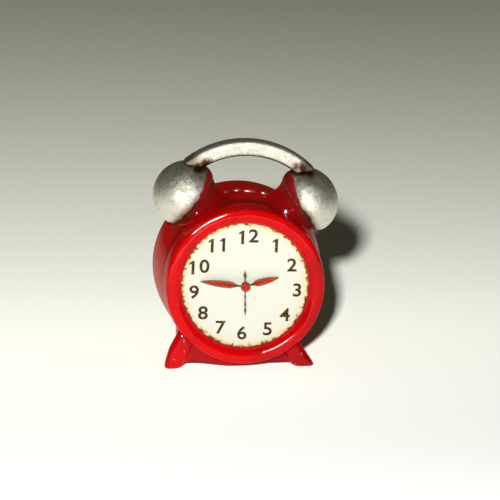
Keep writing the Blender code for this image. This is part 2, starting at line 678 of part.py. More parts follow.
def make_hand(name, outline, bore, lift, angle, material):
    """Cut a hand out of sheet and set it on its pipe."""
    bm = plate(outline, [circle(bore, ARBOR_STEPS)], -lift, -lift - HAND_THICKNESS)
    build(name, bm, material, rotation=tilt_to(angle))


def make_hands():
    """Alarm hand next to the dial, then the hour hand, the minute hand and the cap."""
    red = finish("hand_enamel", RED, 0.35)
    make_hand("alarm_hand", alarm_hand_outline(), ALARM_PIPE_RADIUS + PRESS_GAP, ALARM_HAND_LIFT,
              ALARM_HAND_ANGLE, finish("alarm_hand_paint", OLIVE, 0.5))
    make_hand("hour_hand", hand_outline(HOUR_HAND_LENGTH, HAND_WIDTH), HOUR_PIPE_RADIUS + PRESS_GAP,
              HOUR_HAND_LIFT, HOUR_HAND_ANGLE, red)
    make_hand("minute_hand", hand_outline(MINUTE_HAND_LENGTH, HAND_WIDTH), MINUTE_ARBOR_RADIUS + PRESS_GAP,
              MINUTE_HAND_LIFT, MINUTE_HAND_ANGLE, red)
    base = -MINUTE_HAND_LIFT - HAND_THICKNESS - PRESS_GAP
    rim = CAP_HEIGHT * CAP_RIM_SHARE
    dome = arc(0.0, base - rim, CAP_RADIUS, CAP_HEIGHT - rim, 0.0, -QUARTER, 4)
    profile = [(0.0, base), (CAP_RADIUS, base)] + dome
    build("centre_cap", turned(profile, PIPE_STEPS), finish("cap_enamel", RED, 0.3))


# Motion work behind the dial

def make_motion_work():
    """Pipes and wheels that turn the three hands from one arbor and the two setting arbors."""
    brass = finish("train_brass", BRASS, 0.35, 1.0)
    steel = finish("arbor_steel", STEEL, 0.3, 1.0)
    rod("minute_arbor", [(MINUTE_ARBOR_RADIUS, -MINUTE_HAND_LIFT - HAND_THICKNESS, REAR_PLATE_BACK)], steel)
    tube("hour_pipe", HOUR_PIPE_BORE, HOUR_PIPE_RADIUS, -HOUR_HAND_LIFT - HAND_THICKNESS,
         HOUR_WHEEL_FRONT + WHEEL_THICKNESS, brass)
    tube("alarm_pipe", ALARM_PIPE_BORE, ALARM_PIPE_RADIUS, -ALARM_HAND_LIFT - HAND_THICKNESS,
         ALARM_WHEEL_FRONT + WHEEL_THICKNESS, brass)

    minute_module = gear_module(MOTION_CENTRES, CANNON_TEETH, MINUTE_WHEEL_TEETH)
    hour_module = gear_module(MOTION_CENTRES, MINUTE_PINION_TEETH, HOUR_WHEEL_TEETH)
    alarm_module = gear_module(ALARM_CENTRES, ALARM_WHEEL_TEETH, ALARM_PINION_TEETH)
    back_to_hub = SETTING_DIRECTION + math.pi
    gear("cannon_pinion", CANNON_TEETH, minute_module, SETTING_DIRECTION, MINUTE_ARBOR_RADIUS + PRESS_GAP,
         MINUTE_WHEEL_FRONT, PINION_THICKNESS, steel)
    gear("minute_wheel", MINUTE_WHEEL_TEETH, minute_module, gap_at(back_to_hub, MINUTE_WHEEL_TEETH),
         SETTING_ARBOR_RADIUS + PRESS_GAP, MINUTE_WHEEL_FRONT, WHEEL_THICKNESS, brass, SETTING_PLACE)
    gear("minute_pinion", MINUTE_PINION_TEETH, hour_module, back_to_hub, SETTING_ARBOR_RADIUS + PRESS_GAP,
         HOUR_WHEEL_FRONT, PINION_THICKNESS, steel, SETTING_PLACE)
    gear("hour_wheel", HOUR_WHEEL_TEETH, hour_module, gap_at(SETTING_DIRECTION, HOUR_WHEEL_TEETH),
         HOUR_PIPE_RADIUS + PRESS_GAP, HOUR_WHEEL_FRONT, WHEEL_THICKNESS, brass)
    gear("alarm_wheel", ALARM_WHEEL_TEETH, alarm_module, gap_at(ALARM_DIRECTION, ALARM_WHEEL_TEETH),
         ALARM_PIPE_RADIUS + PRESS_GAP, ALARM_WHEEL_FRONT, WHEEL_THICKNESS, brass)
    gear("alarm_set_pinion", ALARM_PINION_TEETH, alarm_module, ALARM_DIRECTION + math.pi,
         SETTING_ARBOR_RADIUS + PRESS_GAP, ALARM_WHEEL_FRONT, PINION_THICKNESS, steel, ALARM_PLACE)
    rod("setting_arbor", [(SETTING_ARBOR_RADIUS, HOUR_WHEEL_FRONT - SETTING_ARBOR_END,
                           KNOB_FRONT + TIME_KNOB_THICKNESS)], steel, SETTING_PLACE)
    rod("alarm_set_arbor", [(SETTING_ARBOR_RADIUS, ALARM_WHEEL_FRONT - ALARM_ARBOR_END,
                             KNOB_FRONT + ALARM_KNOB_THICKNESS)], steel, ALARM_PLACE)


# Going train and motor

def train_arbor(name, material, place):
    """An arbor that runs between the two plates on thin pivots."""
    rod(name, [(TRAIN_PIVOT_RADIUS, FRONT_PLATE_FRONT, FRONT_PLATE_BACK + SEAT_GAP),
               (TRAIN_ARBOR_RADIUS, FRONT_PLATE_BACK + SEAT_GAP, REAR_PLATE_FRONT - SEAT_GAP),
               (TRAIN_PIVOT_RADIUS, REAR_PLATE_FRONT - SEAT_GAP, REAR_PLATE_BACK)], material, place)


def make_going_train():
    """Rotor, intermediate wheel, third wheel and centre wheel."""
    brass = finish("going_brass", BRASS, 0.35, 1.0)
    steel = finish("pinion_steel", STEEL, 0.3, 1.0)
    bore = TRAIN_ARBOR_RADIUS + PRESS_GAP
    centre_module = gear_module(THIRD_CENTRES, CENTRE_WHEEL_TEETH, THIRD_PINION_TEETH)
    third_module = gear_module(INTERMEDIATE_CENTRES, THIRD_WHEEL_TEETH, INTERMEDIATE_PINION_TEETH)
    rotor_module = gear_module(ROTOR_CENTRES, INTERMEDIATE_WHEEL_TEETH, ROTOR_PINION_TEETH)
    gear("centre_wheel", CENTRE_WHEEL_TEETH, centre_module, gap_at(THIRD_DIRECTION, CENTRE_WHEEL_TEETH),
         MINUTE_ARBOR_RADIUS + RUN_GAP, CENTRE_WHEEL_FRONT, WHEEL_THICKNESS, brass)
    train_arbor("third_arbor", steel, THIRD_PLACE)
    gear("third_pinion", THIRD_PINION_TEETH, centre_module, THIRD_DIRECTION + math.pi, bore,
         CENTRE_WHEEL_FRONT, PINION_THICKNESS, steel, THIRD_PLACE)
    gear("third_wheel", THIRD_WHEEL_TEETH, third_module, gap_at(INTERMEDIATE_DIRECTION, THIRD_WHEEL_TEETH),
         bore, THIRD_WHEEL_FRONT, WHEEL_THICKNESS, brass, THIRD_PLACE)
    train_arbor("intermediate_arbor", steel, INTERMEDIATE_PLACE)
    gear("intermediate_pinion", INTERMEDIATE_PINION_TEETH, third_module, INTERMEDIATE_DIRECTION + math.pi,
         bore, THIRD_WHEEL_FRONT, PINION_THICKNESS, steel, INTERMEDIATE_PLACE)
    gear("intermediate_wheel", INTERMEDIATE_WHEEL_TEETH, rotor_module,
         gap_at(ROTOR_DIRECTION, INTERMEDIATE_WHEEL_TEETH), bore, INTERMEDIATE_WHEEL_FRONT,
         WHEEL_THICKNESS, brass, INTERMEDIATE_PLACE)
    train_arbor("rotor_arbor", steel, ROTOR_PLACE)
    gear("rotor_pinion", ROTOR_PINION_TEETH, rotor_module, ROTOR_DIRECTION + math.pi, bore,
         INTERMEDIATE_WHEEL_FRONT, PINION_THICKNESS, steel, ROTOR_PLACE)
    magnet = [(bore, ROTOR_MAGNET_FRONT), (ROTOR_MAGNET_RADIUS, ROTOR_MAGNET_FRONT),
              (ROTOR_MAGNET_RADIUS, ROTOR_MAGNET_FRONT + ROTOR_MAGNET_THICKNESS),
              (bore, ROTOR_MAGNET_FRONT + ROTOR_MAGNET_THICKNESS)]
    build("rotor_magnet", turned(magnet, PIPE_STEPS), finish("magnet_grey", STEEL, 0.5, 0.6),
          location=(ROTOR_PLACE[0], 0.0, ROTOR_PLACE[1]))


def make_motor():
    """Stator with the rotor's hole, the coil's core across its ends, and the winding."""
    steel = finish("stator_steel", STEEL, 0.4, 1.0)
    outward = math.atan2(ROTOR_PLACE[1], ROTOR_PLACE[0])
    turn = (0.0, QUARTER - outward, 0.0)
    place = (ROTOR_PLACE[0], 0.0, ROTOR_PLACE[1])
    half_arm = STATOR_ARM_WIDTH / 2
    eye_start = math.asin(half_arm / STATOR_EYE_RADIUS)
    eye_steps = 8
    span = math.pi - 2 * eye_start
    upper = [(STATOR_EYE_RADIUS * math.cos(eye_start + span * i / eye_steps),
              STATOR_EYE_RADIUS * math.sin(eye_start + span * i / eye_steps)) for i in range(eye_steps + 1)]
    lower = [(-x, -z) for x, z in upper]
    outline = ([(STATOR_HALF_LENGTH, half_arm)] + upper + [(-STATOR_HALF_LENGTH, half_arm),
               (-STATOR_HALF_LENGTH, -half_arm)] + lower + [(STATOR_HALF_LENGTH, -half_arm)])
    stator_back = STATOR_FRONT + STATOR_THICKNESS
    stator = plate(outline, [circle(STATOR_HOLE_RADIUS, PIPE_STEPS)], STATOR_FRONT, stator_back)
    build("stator_plate", stator, steel, location=place, rotation=turn)

    core_front = stator_back + SEAT_GAP
    inner = STATOR_HALF_LENGTH - COIL_TAB_WIDTH
    low = COIL_OFFSET - COIL_CORE_WIDTH / 2
    high = COIL_OFFSET + COIL_CORE_WIDTH / 2
    core = [(STATOR_HALF_LENGTH, -half_arm), (STATOR_HALF_LENGTH, high), (-STATOR_HALF_LENGTH, high),
            (-STATOR_HALF_LENGTH, -half_arm), (-inner, -half_arm), (-inner, low), (inner, low),
            (inner, -half_arm)]
    build("coil_core", plate(core, [], core_front, core_front + COIL_CORE_THICKNESS), steel,
          location=place, rotation=turn)

    bore = math.hypot(COIL_CORE_WIDTH, COIL_CORE_THICKNESS) / 2 + SEAT_GAP
    half = COIL_LENGTH / 2
    winding = turned([(bore, -half), (COIL_RADIUS, -half), (COIL_RADIUS, half), (bore, half)], PIPE_STEPS)
    bmesh.ops.rotate(winding, verts=winding.verts[:], matrix=Matrix.Rotation(QUARTER, 3, "Z"))
    bmesh.ops.translate(winding, verts=winding.verts[:],
                        vec=(0.0, core_front + COIL_CORE_THICKNESS / 2, COIL_OFFSET))
    build("coil_winding", winding, finish("coil_copper", COPPER, 0.4, 1.0), location=place, rotation=turn)


# Frame of the movement

def make_movement_frame():
    """Two plates, three pillars, the circuit board and the ring that holds them in the drum."""
    brass = finish("plate_brass", BRASS, 0.35, 1.0)
    centre_hole = circle(MINUTE_ARBOR_RADIUS + RUN_GAP, ARBOR_STEPS)
    setting_holes = [circle(SETTING_ARBOR_RADIUS + RUN_GAP, ARBOR_STEPS, place)
                     for place in (SETTING_PLACE, ALARM_PLACE)]
    pivot_holes = [circle(TRAIN_PIVOT_RADIUS + RUN_GAP, ARBOR_STEPS, place)
                   for place in (THIRD_PLACE, INTERMEDIATE_PLACE, ROTOR_PLACE)]
    pillar_holes = [circle(PILLAR_PIN_RADIUS + SEAT_GAP, ARBOR_STEPS, place) for place in PILLAR_PLACES]
    holes = [centre_hole] + setting_holes + pivot_holes + pillar_holes
    disc = circle(PLATE_RADIUS, PLATE_STEPS)
    build("front_plate", plate(disc, holes, FRONT_PLATE_FRONT, FRONT_PLATE_BACK), brass)
    build("rear_plate", plate(disc, holes, REAR_PLATE_FRONT, REAR_PLATE_BACK), brass)
    pillar_front = FRONT_PLATE_BACK + SEAT_GAP
    pillar_back = REAR_PLATE_FRONT - SEAT_GAP
    for number, place in enumerate(PILLAR_PLACES, 1):
        rod(f"plate_pillar_{number}", [(PILLAR_PIN_RADIUS, FRONT_PLATE_FRONT, pillar_front),
                                       (PILLAR_RADIUS, pillar_front, pillar_back),
                                       (PILLAR_PIN_RADIUS, pillar_back, BOARD_BACK)], brass, place)

    board = plate(circle(BOARD_RADIUS, PLATE_STEPS), setting_holes + pillar_holes, BOARD_FRONT, BOARD_BACK)
    build("circuit_board", board, finish("board_green", GREEN, 0.5))

    ring_front = BEZEL_SPIGOT + SEAT_GAP
    lip_front = DIAL_THICKNESS + SEAT_GAP
    ring = [(RING_BORE, lip_front), (RING_LIP_RADIUS, lip_front), (RING_LIP_RADIUS, ring_front),
            (COVER_OUTER, ring_front), (COVER_OUTER, REAR_PLATE_BACK), (RING_BORE, REAR_PLATE_BACK)]
    build("movement_ring", turned(ring, PLATE_STEPS), finish("ring_plastic", WHITE, 0.5))


# Back of the clock

def knob_outline(radius):
    """A round knob with shallow grip grooves."""
    steps = KNOB_GROOVES * 4
    points = []
    for i in range(steps):
        dip = KNOB_GROOVE_DEPTH * max(0.0, -math.cos(QUARTER * i))
        points.append(polar(radius - dip, TURN * i / steps))
    return points


def make_knob(name, radius, thickness, place):
    """A grooved knob pressed on the end of its arbor."""
    bore = circle(SETTING_ARBOR_RADIUS + PRESS_GAP, ARBOR_STEPS)
    bm = plate(knob_outline(radius), [bore], KNOB_FRONT, KNOB_FRONT + thickness)
    build(name, bm, finish(f"{name}_black", BLACK, 0.4), location=(place[0], 0.0, place[1]))


def make_back_cover():
    """Cup pressed into the drum; its skirt holds the movement ring."""
    skirt_front = REAR_PLATE_BACK + SEAT_GAP
    profile = [(0.0, COVER_WALL_FRONT), (COVER_INNER, COVER_WALL_FRONT), (COVER_INNER, skirt_front),
               (COVER_OUTER, skirt_front), (COVER_OUTER, COVER_RIM_FACE),
               (COVER_PANEL_RADIUS + COVER_STEP, COVER_RIM_FACE), (COVER_PANEL_RADIUS, COVER_FACE),
               (0.0, COVER_FACE)]
    cover = build("back_cover", turned(profile, CASE_STEPS), finish("cover_enamel", RED, 0.3))
    hatch = HATCH_RADIUS + SEAT_GAP
    plug = HATCH_PLUG_RADIUS + SEAT_GAP
    front = COVER_WALL_FRONT - CUT_OVERRUN
    back = COVER_FACE + CUT_OVERRUN
    seat = [(0.0, front), (plug, front), (plug, HATCH_LEDGE), (hatch, HATCH_LEDGE), (hatch, back), (0.0, back)]
    combine(cover, form("hatch_seat_form", turned(seat, PLATE_STEPS), location=(0.0, 0.0, HATCH_CENTRE_Z)),
            "DIFFERENCE")
    for label, place in (("setting", SETTING_PLACE), ("alarm", ALARM_PLACE)):
        hole = plate(circle(SETTING_ARBOR_RADIUS + RUN_GAP, ARBOR_STEPS, place), [], front, back)
        combine(cover, form(f"{label}_arbor_hole_form", hole), "DIFFERENCE")
    slot_length = SWITCH_STEM_LENGTH + SWITCH_TRAVEL + 2 * SEAT_GAP
    slot_width = SWITCH_STEM_WIDTH + 2 * SEAT_GAP
    slot = box_outline(slot_width, slot_length, (SWITCH_X, SWITCH_Z - SWITCH_TRAVEL / 2))
    combine(cover, form("switch_slot_form", plate(slot, [], front, back)), "DIFFERENCE")
    for i in range(SOUND_SLOT_COUNT):
        rise = (i - (SOUND_SLOT_COUNT - 1) / 2) * SOUND_SLOT_PITCH
        length = 2 * math.sqrt(SOUND_SLOT_REACH ** 2 - rise ** 2)
        opening = box_outline(length, SOUND_SLOT_WIDTH, (0.0, SOUNDER_CENTRE_Z + rise))
        combine(cover, form(f"sound_slot_form_{i + 1}", plate(opening, [], front, back)), "DIFFERENCE")


def make_battery_bay():
    """Button cell in its holder, with a leaf spring under it and a coin-turned hatch behind it."""
    place = (0.0, 0.0, HATCH_CENTRE_Z)
    hatch_profile = [(0.0, HATCH_INNER), (HATCH_PLUG_RADIUS, HATCH_INNER),
                     (HATCH_PLUG_RADIUS, HATCH_LEDGE + SEAT_GAP), (HATCH_RADIUS, HATCH_LEDGE + SEAT_GAP),
                     (HATCH_RADIUS, COVER_FACE), (0.0, COVER_FACE)]
    hatch = build("battery_hatch", turned(hatch_profile, PLATE_STEPS), finish("hatch_black", BLACK, 0.4),
                  location=place)
    slot = plate(box_outline(COIN_SLOT_LENGTH, COIN_SLOT_WIDTH), [], COVER_FACE - COIN_SLOT_DEPTH,
                 COVER_FACE + CUT_OVERRUN)
    combine(hatch, form("coin_slot_form", slot, location=place), "DIFFERENCE")

    steel = finish("cell_steel", STEEL, 0.25, 1.0)
    cell_back = CELL_FRONT + CELL_HEIGHT
    cell = [(0.0, CELL_FRONT), (CELL_CAP_RADIUS, CELL_FRONT), (CELL_CAP_RADIUS, CELL_FRONT + CELL_CAP_HEIGHT),
            (CELL_RADIUS, CELL_FRONT + CELL_CAP_HEIGHT), (CELL_RADIUS, cell_back), (0.0, cell_back)]
    build("battery_cell", turned(cell, PIPE_STEPS), steel, location=place)

    bore = CELL_RADIUS + SEAT_GAP
    floor = HOLDER_FLOOR_FRONT + HOLDER_FLOOR
    rear = HATCH_INNER - SEAT_GAP
    foot = BOARD_BACK + SEAT_GAP
    holder = [(0.0, HOLDER_FLOOR_FRONT), (bore, HOLDER_FLOOR_FRONT), (bore, foot), (bore + HOLDER_WALL, foot),
              (bore + HOLDER_WALL, rear), (bore, rear), (bore, floor), (0.0, floor)]
    build("battery_holder", turned(holder, PLATE_STEPS), finish("holder_plastic", BLACK, 0.5), location=place)

    rise = CELL_FRONT - floor - 2 * SEAT_GAP - SPRING_THICKNESS
    half = SPRING_LENGTH / 2
    wide = SPRING_WIDTH / 2
    rings = []
    spring_steps = 8
    for i in range(spring_steps + 1):
        share = i / spring_steps
        x = -half + SPRING_LENGTH * share
        front = floor + SEAT_GAP + rise * math.sin(math.pi * share)
        back = front + SPRING_THICKNESS
        rings.append([(x, front, -wide), (x, front, wide), (x, back, wide), (x, back, -wide)])
    build("battery_spring", lofted(rings), steel, location=place)


def make_sounder():
    """Thin metal disc behind the sound slots."""
    rear = COVER_WALL_FRONT - SEAT_GAP
    brass = finish("sounder_brass", BRASS, 0.4, 1.0)
    rod("sounder_disc", [(SOUNDER_RADIUS, rear - SOUNDER_THICKNESS, rear)], brass, (0.0, SOUNDER_CENTRE_Z),
        PIPE_STEPS)


def make_switch():
    """Alarm switch: a button outside, a stem through the slot and a flange inside."""
    button_front = COVER_FACE + SEAT_GAP
    flange_back = COVER_WALL_FRONT - SEAT_GAP
    flange_front = flange_back - SWITCH_FLANGE_THICKNESS
    black = finish("switch_black", BLACK, 0.4)
    stem = plate(box_outline(SWITCH_STEM_WIDTH, SWITCH_STEM_LENGTH), [], flange_front,
                 button_front + SWITCH_BUTTON_HEIGHT / 2)
    place = (SWITCH_X, 0.0, SWITCH_Z)
    switch = build("alarm_switch", stem, black, location=place)
    button = plate(box_outline(SWITCH_BUTTON_WIDTH, SWITCH_BUTTON_LENGTH), [], button_front,
                   button_front + SWITCH_BUTTON_HEIGHT)
    flange = plate(box_outline(SWITCH_FLANGE_WIDTH, SWITCH_FLANGE_LENGTH), [], flange_front, flange_back)
    combine(switch, form("switch_button_form", button, location=place), "UNION")
    combine(switch, form("switch_flange_form", flange, location=place), "UNION")


# Bells and handle

def make_bells():
    """Thin domes over the seats, each on a stud."""
    silver = finish("bell_silver", SILVER, 0.3, 1.0)
    outer = arc(0.0, SEAT_GAP, BELL_RADIUS, BELL_HEIGHT, 0.0, QUARTER, BELL_ROWS)
    inner = arc(0.0, SEAT_GAP, BELL_RADIUS - BELL_WALL, BELL_HEIGHT - BELL_WALL, QUARTER, 0.0, BELL_ROWS)
    crown = BELL_HEIGHT - BELL_WALL - STUD_CROWN_GAP
    stud = [(0.0, -STUD_REACH), (STUD_RADIUS, -STUD_REACH), (STUD_RADIUS, SEAT_GAP),
            (STUD_COLLAR_RADIUS, SEAT_GAP), (STUD_COLLAR_RADIUS, SEAT_GAP + STUD_COLLAR),
            (STUD_RADIUS, SEAT_GAP + STUD_COLLAR), (STUD_RADIUS, crown), (0.0, crown)]
    for side, label in ((-1, "left"), (1, "right")):
        place = {"location": bell_rim_centre(side), "rotation": bell_turn(side)}
        bell = build(f"{label}_bell", turned(outer + inner, BELL_STEPS), silver, **place)
        combine(bell, make_pin_hole(side, label), "DIFFERENCE")
        steel = finish(f"{label}_stud_steel", STEEL, 0.3, 1.0)
        build(f"{label}_bell_stud", turned(stud, ARBOR_STEPS), steel, **place)


def bell_top(x_from_middle):
    """Height of a bell's dome above the hub, straight above a place between its rim and its crown."""
    rim = bell_rim_centre(1)
    return rim.z + math.sqrt(BELL_RADIUS ** 2 - (x_from_middle - rim.x) ** 2)


def pin_rod(radius, grow):
    """Upright rod through a bell's wall into the handle's end."""
    top = bell_top(HANDLE_PIN_X) + HANDLE_PIN_RISE + grow
    bottom = bell_top(HANDLE_PIN_X) - HANDLE_PIN_DROP - grow
    bm = turned([(0.0, -top), (radius, -top), (radius, -bottom), (0.0, -bottom)], ARBOR_STEPS)
    bmesh.ops.rotate(bm, verts=bm.verts[:], matrix=Matrix.Rotation(-QUARTER, 3, "X"))
    return bm


def make_pin_hole(side, label):
    """Cutter for the handle pin's hole."""
    return form(f"{label}_pin_hole_form", pin_rod(HANDLE_PIN_RADIUS + SEAT_GAP, SEAT_GAP),
                location=(side * HANDLE_PIN_X, BELL_DEPTH, 0.0))


def squared_off(part):
    """Push a sine or cosine outwards, so that an oval's sides are flatter."""
    return math.copysign(abs(part) ** HANDLE_SQUARE_SHARE, part)


def handle_section(angle, share):
    """Rounded section of the handle at an angle from the top; share runs from -1 to 1 along it."""
    arch_centre = HANDLE_TOP - HANDLE_ARCH_RADIUS
    thickness = HANDLE_THICKNESS + (HANDLE_END_THICKNESS - HANDLE_THICKNESS) * share * share
    into_end = max(0.0, (abs(share) - 1 + HANDLE_ROUND_END_SHARE) / HANDLE_ROUND_END_SHARE)
    shrink = math.sqrt(1 - into_end * into_end * HANDLE_END_SHRINK_SHARE)
    middle = HANDLE_ARCH_RADIUS - thickness / 2
    ring = []
    for i in range(HANDLE_SECTION_STEPS):
        around = TURN * (i + 0.5) / HANDLE_SECTION_STEPS
        across = squared_off(math.cos(around)) * HANDLE_WIDTH / 2 * shrink
        radius = middle + squared_off(math.sin(around)) * thickness / 2 * shrink
        ring.append((radius * math.sin(angle), BELL_DEPTH + across, arch_centre + radius * math.cos(angle)))
    return ring


def make_handle():
    """Flattened arch whose ends are hollowed to sit on the bells, each held by a pin."""
    silver = finish("handle_silver", SILVER, 0.3, 1.0)
    end_angle = math.asin(HANDLE_HALF_SPAN / HANDLE_ARCH_RADIUS)
    rings = []
    for i in range(HANDLE_STEPS + 1):
        share = 2 * i / HANDLE_STEPS - 1
        rings.append(handle_section(end_angle * share, share))
    handle = build("handle", lofted(rings), silver)
    for side, label in ((-1, "left"), (1, "right")):
        radius = BELL_RADIUS + SEAT_GAP
        height = BELL_HEIGHT + SEAT_GAP
        dome = [(0.0, -radius)] + arc(0.0, 0.0, radius, radius, -QUARTER, 0.0, DOME_ROWS)[1:]
        dome += arc(0.0, SEAT_GAP, radius, height, 0.0, QUARTER, DOME_ROWS)
        cut = form(f"{label}_dome_form", turned(dome, DOME_STEPS),
                   location=bell_rim_centre(side), rotation=bell_turn(side))
        combine(handle, cut, "DIFFERENCE")
        combine(handle, bpy.data.objects[f"{label}_pin_hole_form"], "DIFFERENCE")
        steel = finish(f"{label}_pin_steel", STEEL, 0.3, 1.0)
        build(f"{label}_handle_pin", pin_rod(HANDLE_PIN_RADIUS, 0.0), steel,
              location=(side * HANDLE_PIN_X, BELL_DEPTH, 0.0))


# Stand

def foot_outline(side, reach, root):
    """Front view of one splayed foot, from the drum down to its flat sole."""
    sole_outer = reach - FOOT_TOE
    sole_inner = sole_outer - FOOT_SOLE_WIDTH
    inner_root = root - FOOT_INNER_LENGTH
    tip = [(reach - FOOT_TOE * inward, FOOT_TIP_HEIGHT * up) for inward, up in FOOT_SIDE_SHARES]
    points = [(root, FOOT_ROOT_HEIGHT)] + tip + [
        (sole_outer, 0.0), (sole_inner, 0.0), (sole_inner - FOOT_TOE, FOOT_TIP_HEIGHT * FOOT_INSTEP_SHARE),
        (inner_root, KEEL_HEIGHT), (inner_root, FOOT_ROOT_HEIGHT)]
    return [(side * x, z) for x, z in points]


def web_outline():
    """Front view of the web: a saddle whose lower edge dips in the middle and rises to two arches."""
    web_steps = 20
    start = -LEFT_ARCH - FOOT_SOLE_WIDTH
    end = RIGHT_ARCH + FOOT_SOLE_WIDTH
    lower = []
    for i in range(web_steps + 1):
        x = start + (end - start) * i / web_steps
        half = LEFT_ARCH + WEB_DIP_X if x < WEB_DIP_X else RIGHT_ARCH - WEB_DIP_X
        share = min(1.0, abs(x - WEB_DIP_X) / half)
        lower.append((x, ARCH_HEIGHT * (1 - math.cos(math.pi * share)) / 2))
    return lower + [(end, FOOT_ROOT_HEIGHT), (start, FOOT_ROOT_HEIGHT)]


def make_stand():
    """One casting under the drum: web, keel and two feet, hollowed to the drum's side."""
    red = finish("stand_enamel", RED, 0.3)
    stand = build("foot_stand", plate(web_outline(), [], WEB_FRONT, WEB_REAR), red, parent=ground)
    keel = box_outline(2 * KEEL_HALF_WIDTH, KEEL_HEIGHT, (WEB_DIP_X, KEEL_HEIGHT / 2))
    keel_form = form("keel_form", plate(keel, [], WEB_FRONT + FOOT_ROUNDING, KEEL_REAR), parent=ground)
    combine(stand, keel_form, "UNION")
    for side, label, reach, root in ((-1, "left", LEFT_FOOT_REACH, LEFT_FOOT_ROOT),
                                     (1, "right", RIGHT_FOOT_REACH, RIGHT_FOOT_ROOT)):
        foot = form(f"{label}_foot_form", plate(foot_outline(side, reach, root), [], FOOT_FRONT, FOOT_REAR),
                    parent=ground)
        bevel = foot.modifiers.new("rounded edges", "BEVEL")
        bevel.width = FOOT_ROUNDING
        bevel.segments = 3
        bevel.limit_method = "ANGLE"
        bevel.angle_limit = math.radians(60)
        combine(stand, foot, "UNION")
    front = CASE_FRONT - CUT_OVERRUN
    saddle_profile = [(0.0, front), (CASE_FRONT_RADIUS + SEAT_GAP, front)]
    saddle_profile += case_outline(SEAT_GAP) + [(0.0, CASE_REAR)]
    saddle = form("saddle_form", turned(saddle_profile, CASE_STEPS))
    combine(stand, saddle, "DIFFERENCE")
    for side, label in ((-1, "left"), (1, "right")):
        combine(stand, bpy.data.objects[f"{label}_screw_hole_form"], "DIFFERENCE")
        build(f"{label}_stand_screw", stand_screw_shape(0.0), finish(f"{label}_screw_steel", STEEL, 0.3, 1.0),
              **stand_screw_place(side))


make_case()
make_bezel()
make_dial()
make_hands()
make_motion_work()
make_going_train()
make_motor()
make_movement_frame()
make_back_cover()
make_battery_bay()
make_sounder()
make_switch()
make_knob("time_set_knob", TIME_KNOB_RADIUS, TIME_KNOB_THICKNESS, SETTING_PLACE)
make_knob("alarm_set_knob", ALARM_KNOB_RADIUS, ALARM_KNOB_THICKNESS, ALARM_PLACE)
make_bells()
make_handle()
make_stand()
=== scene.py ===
"""Looks of a miniature twin-bell alarm clock: gloss enamel, worn silver paint and a printed dial."""

import json
import math

import bmesh
import bpy
from mathutils import Matrix, Vector


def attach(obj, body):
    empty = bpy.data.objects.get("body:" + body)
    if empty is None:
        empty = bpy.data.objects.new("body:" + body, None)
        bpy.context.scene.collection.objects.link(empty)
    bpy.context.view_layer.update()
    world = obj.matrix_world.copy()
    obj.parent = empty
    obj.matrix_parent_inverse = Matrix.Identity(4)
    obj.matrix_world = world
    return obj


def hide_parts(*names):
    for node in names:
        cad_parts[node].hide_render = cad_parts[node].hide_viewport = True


bl_info = {
    "name": "Twin Bell Clock Looks",
    "version": (1, 0, 0),
    "blender": (4, 5, 0),
    "location": "3D View > Sidebar > Clock",
    "description": "Builds the enamel case, bells, handle, dial, hands and feet of a small alarm clock",
    "category": "Object",
}

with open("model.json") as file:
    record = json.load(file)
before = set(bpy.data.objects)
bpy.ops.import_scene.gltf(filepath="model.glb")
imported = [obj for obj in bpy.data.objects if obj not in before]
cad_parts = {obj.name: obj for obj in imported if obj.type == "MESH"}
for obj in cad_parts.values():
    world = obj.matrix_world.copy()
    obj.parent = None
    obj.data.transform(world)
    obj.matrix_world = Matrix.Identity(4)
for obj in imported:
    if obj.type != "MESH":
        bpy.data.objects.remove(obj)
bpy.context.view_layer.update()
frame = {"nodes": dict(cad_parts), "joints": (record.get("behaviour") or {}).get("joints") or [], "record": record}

MM = 0.001
TURN = math.tau
HALF = math.pi
QUARTER = math.pi / 2
JOIN = 0.0005 * MM    # points closer than this are merged
GAP = 0.02 * MM       # air between pieces that would touch
PRINT = 0.012 * MM    # thickness of the dial's print
BLADE = 0.16 * MM     # thickness of a hand


def joint(name):
    """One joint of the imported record."""
    return next(entry for entry in frame["joints"] if entry["name"] == name)


HUB = Vector(joint("minute_hand_turn")["pos_m"])
SWITCH_WAY = Vector(joint("alarm_switch_slide")["axis"])
LEAN = math.atan2(-SWITCH_WAY.x, -SWITCH_WAY.z)
CLOCK = Matrix.Translation(HUB) @ Matrix.Rotation(LEAN, 4, "Y")
STAND = Matrix.Translation((HUB.x, HUB.y, 0.0))


# Sizes and colours that a user would change

def length(name, description, millimetres):
    """A length property, given in millimetres."""
    return bpy.props.FloatProperty(name=name, description=description, default=millimetres * MM,
                                   precision=5, unit="LENGTH", subtype="DISTANCE")


def turn(name, description, degrees):
    """An angle property, given in degrees."""
    return bpy.props.FloatProperty(name=name, description=description, default=math.radians(degrees),
                                   unit="ROTATION", subtype="ANGLE")


def colour(name, description, red, green, blue):
    """A colour property."""
    return bpy.props.FloatVectorProperty(name=name, description=description, default=(red, green, blue),
                                         min=0.0, max=1.0, size=3, subtype="COLOR")


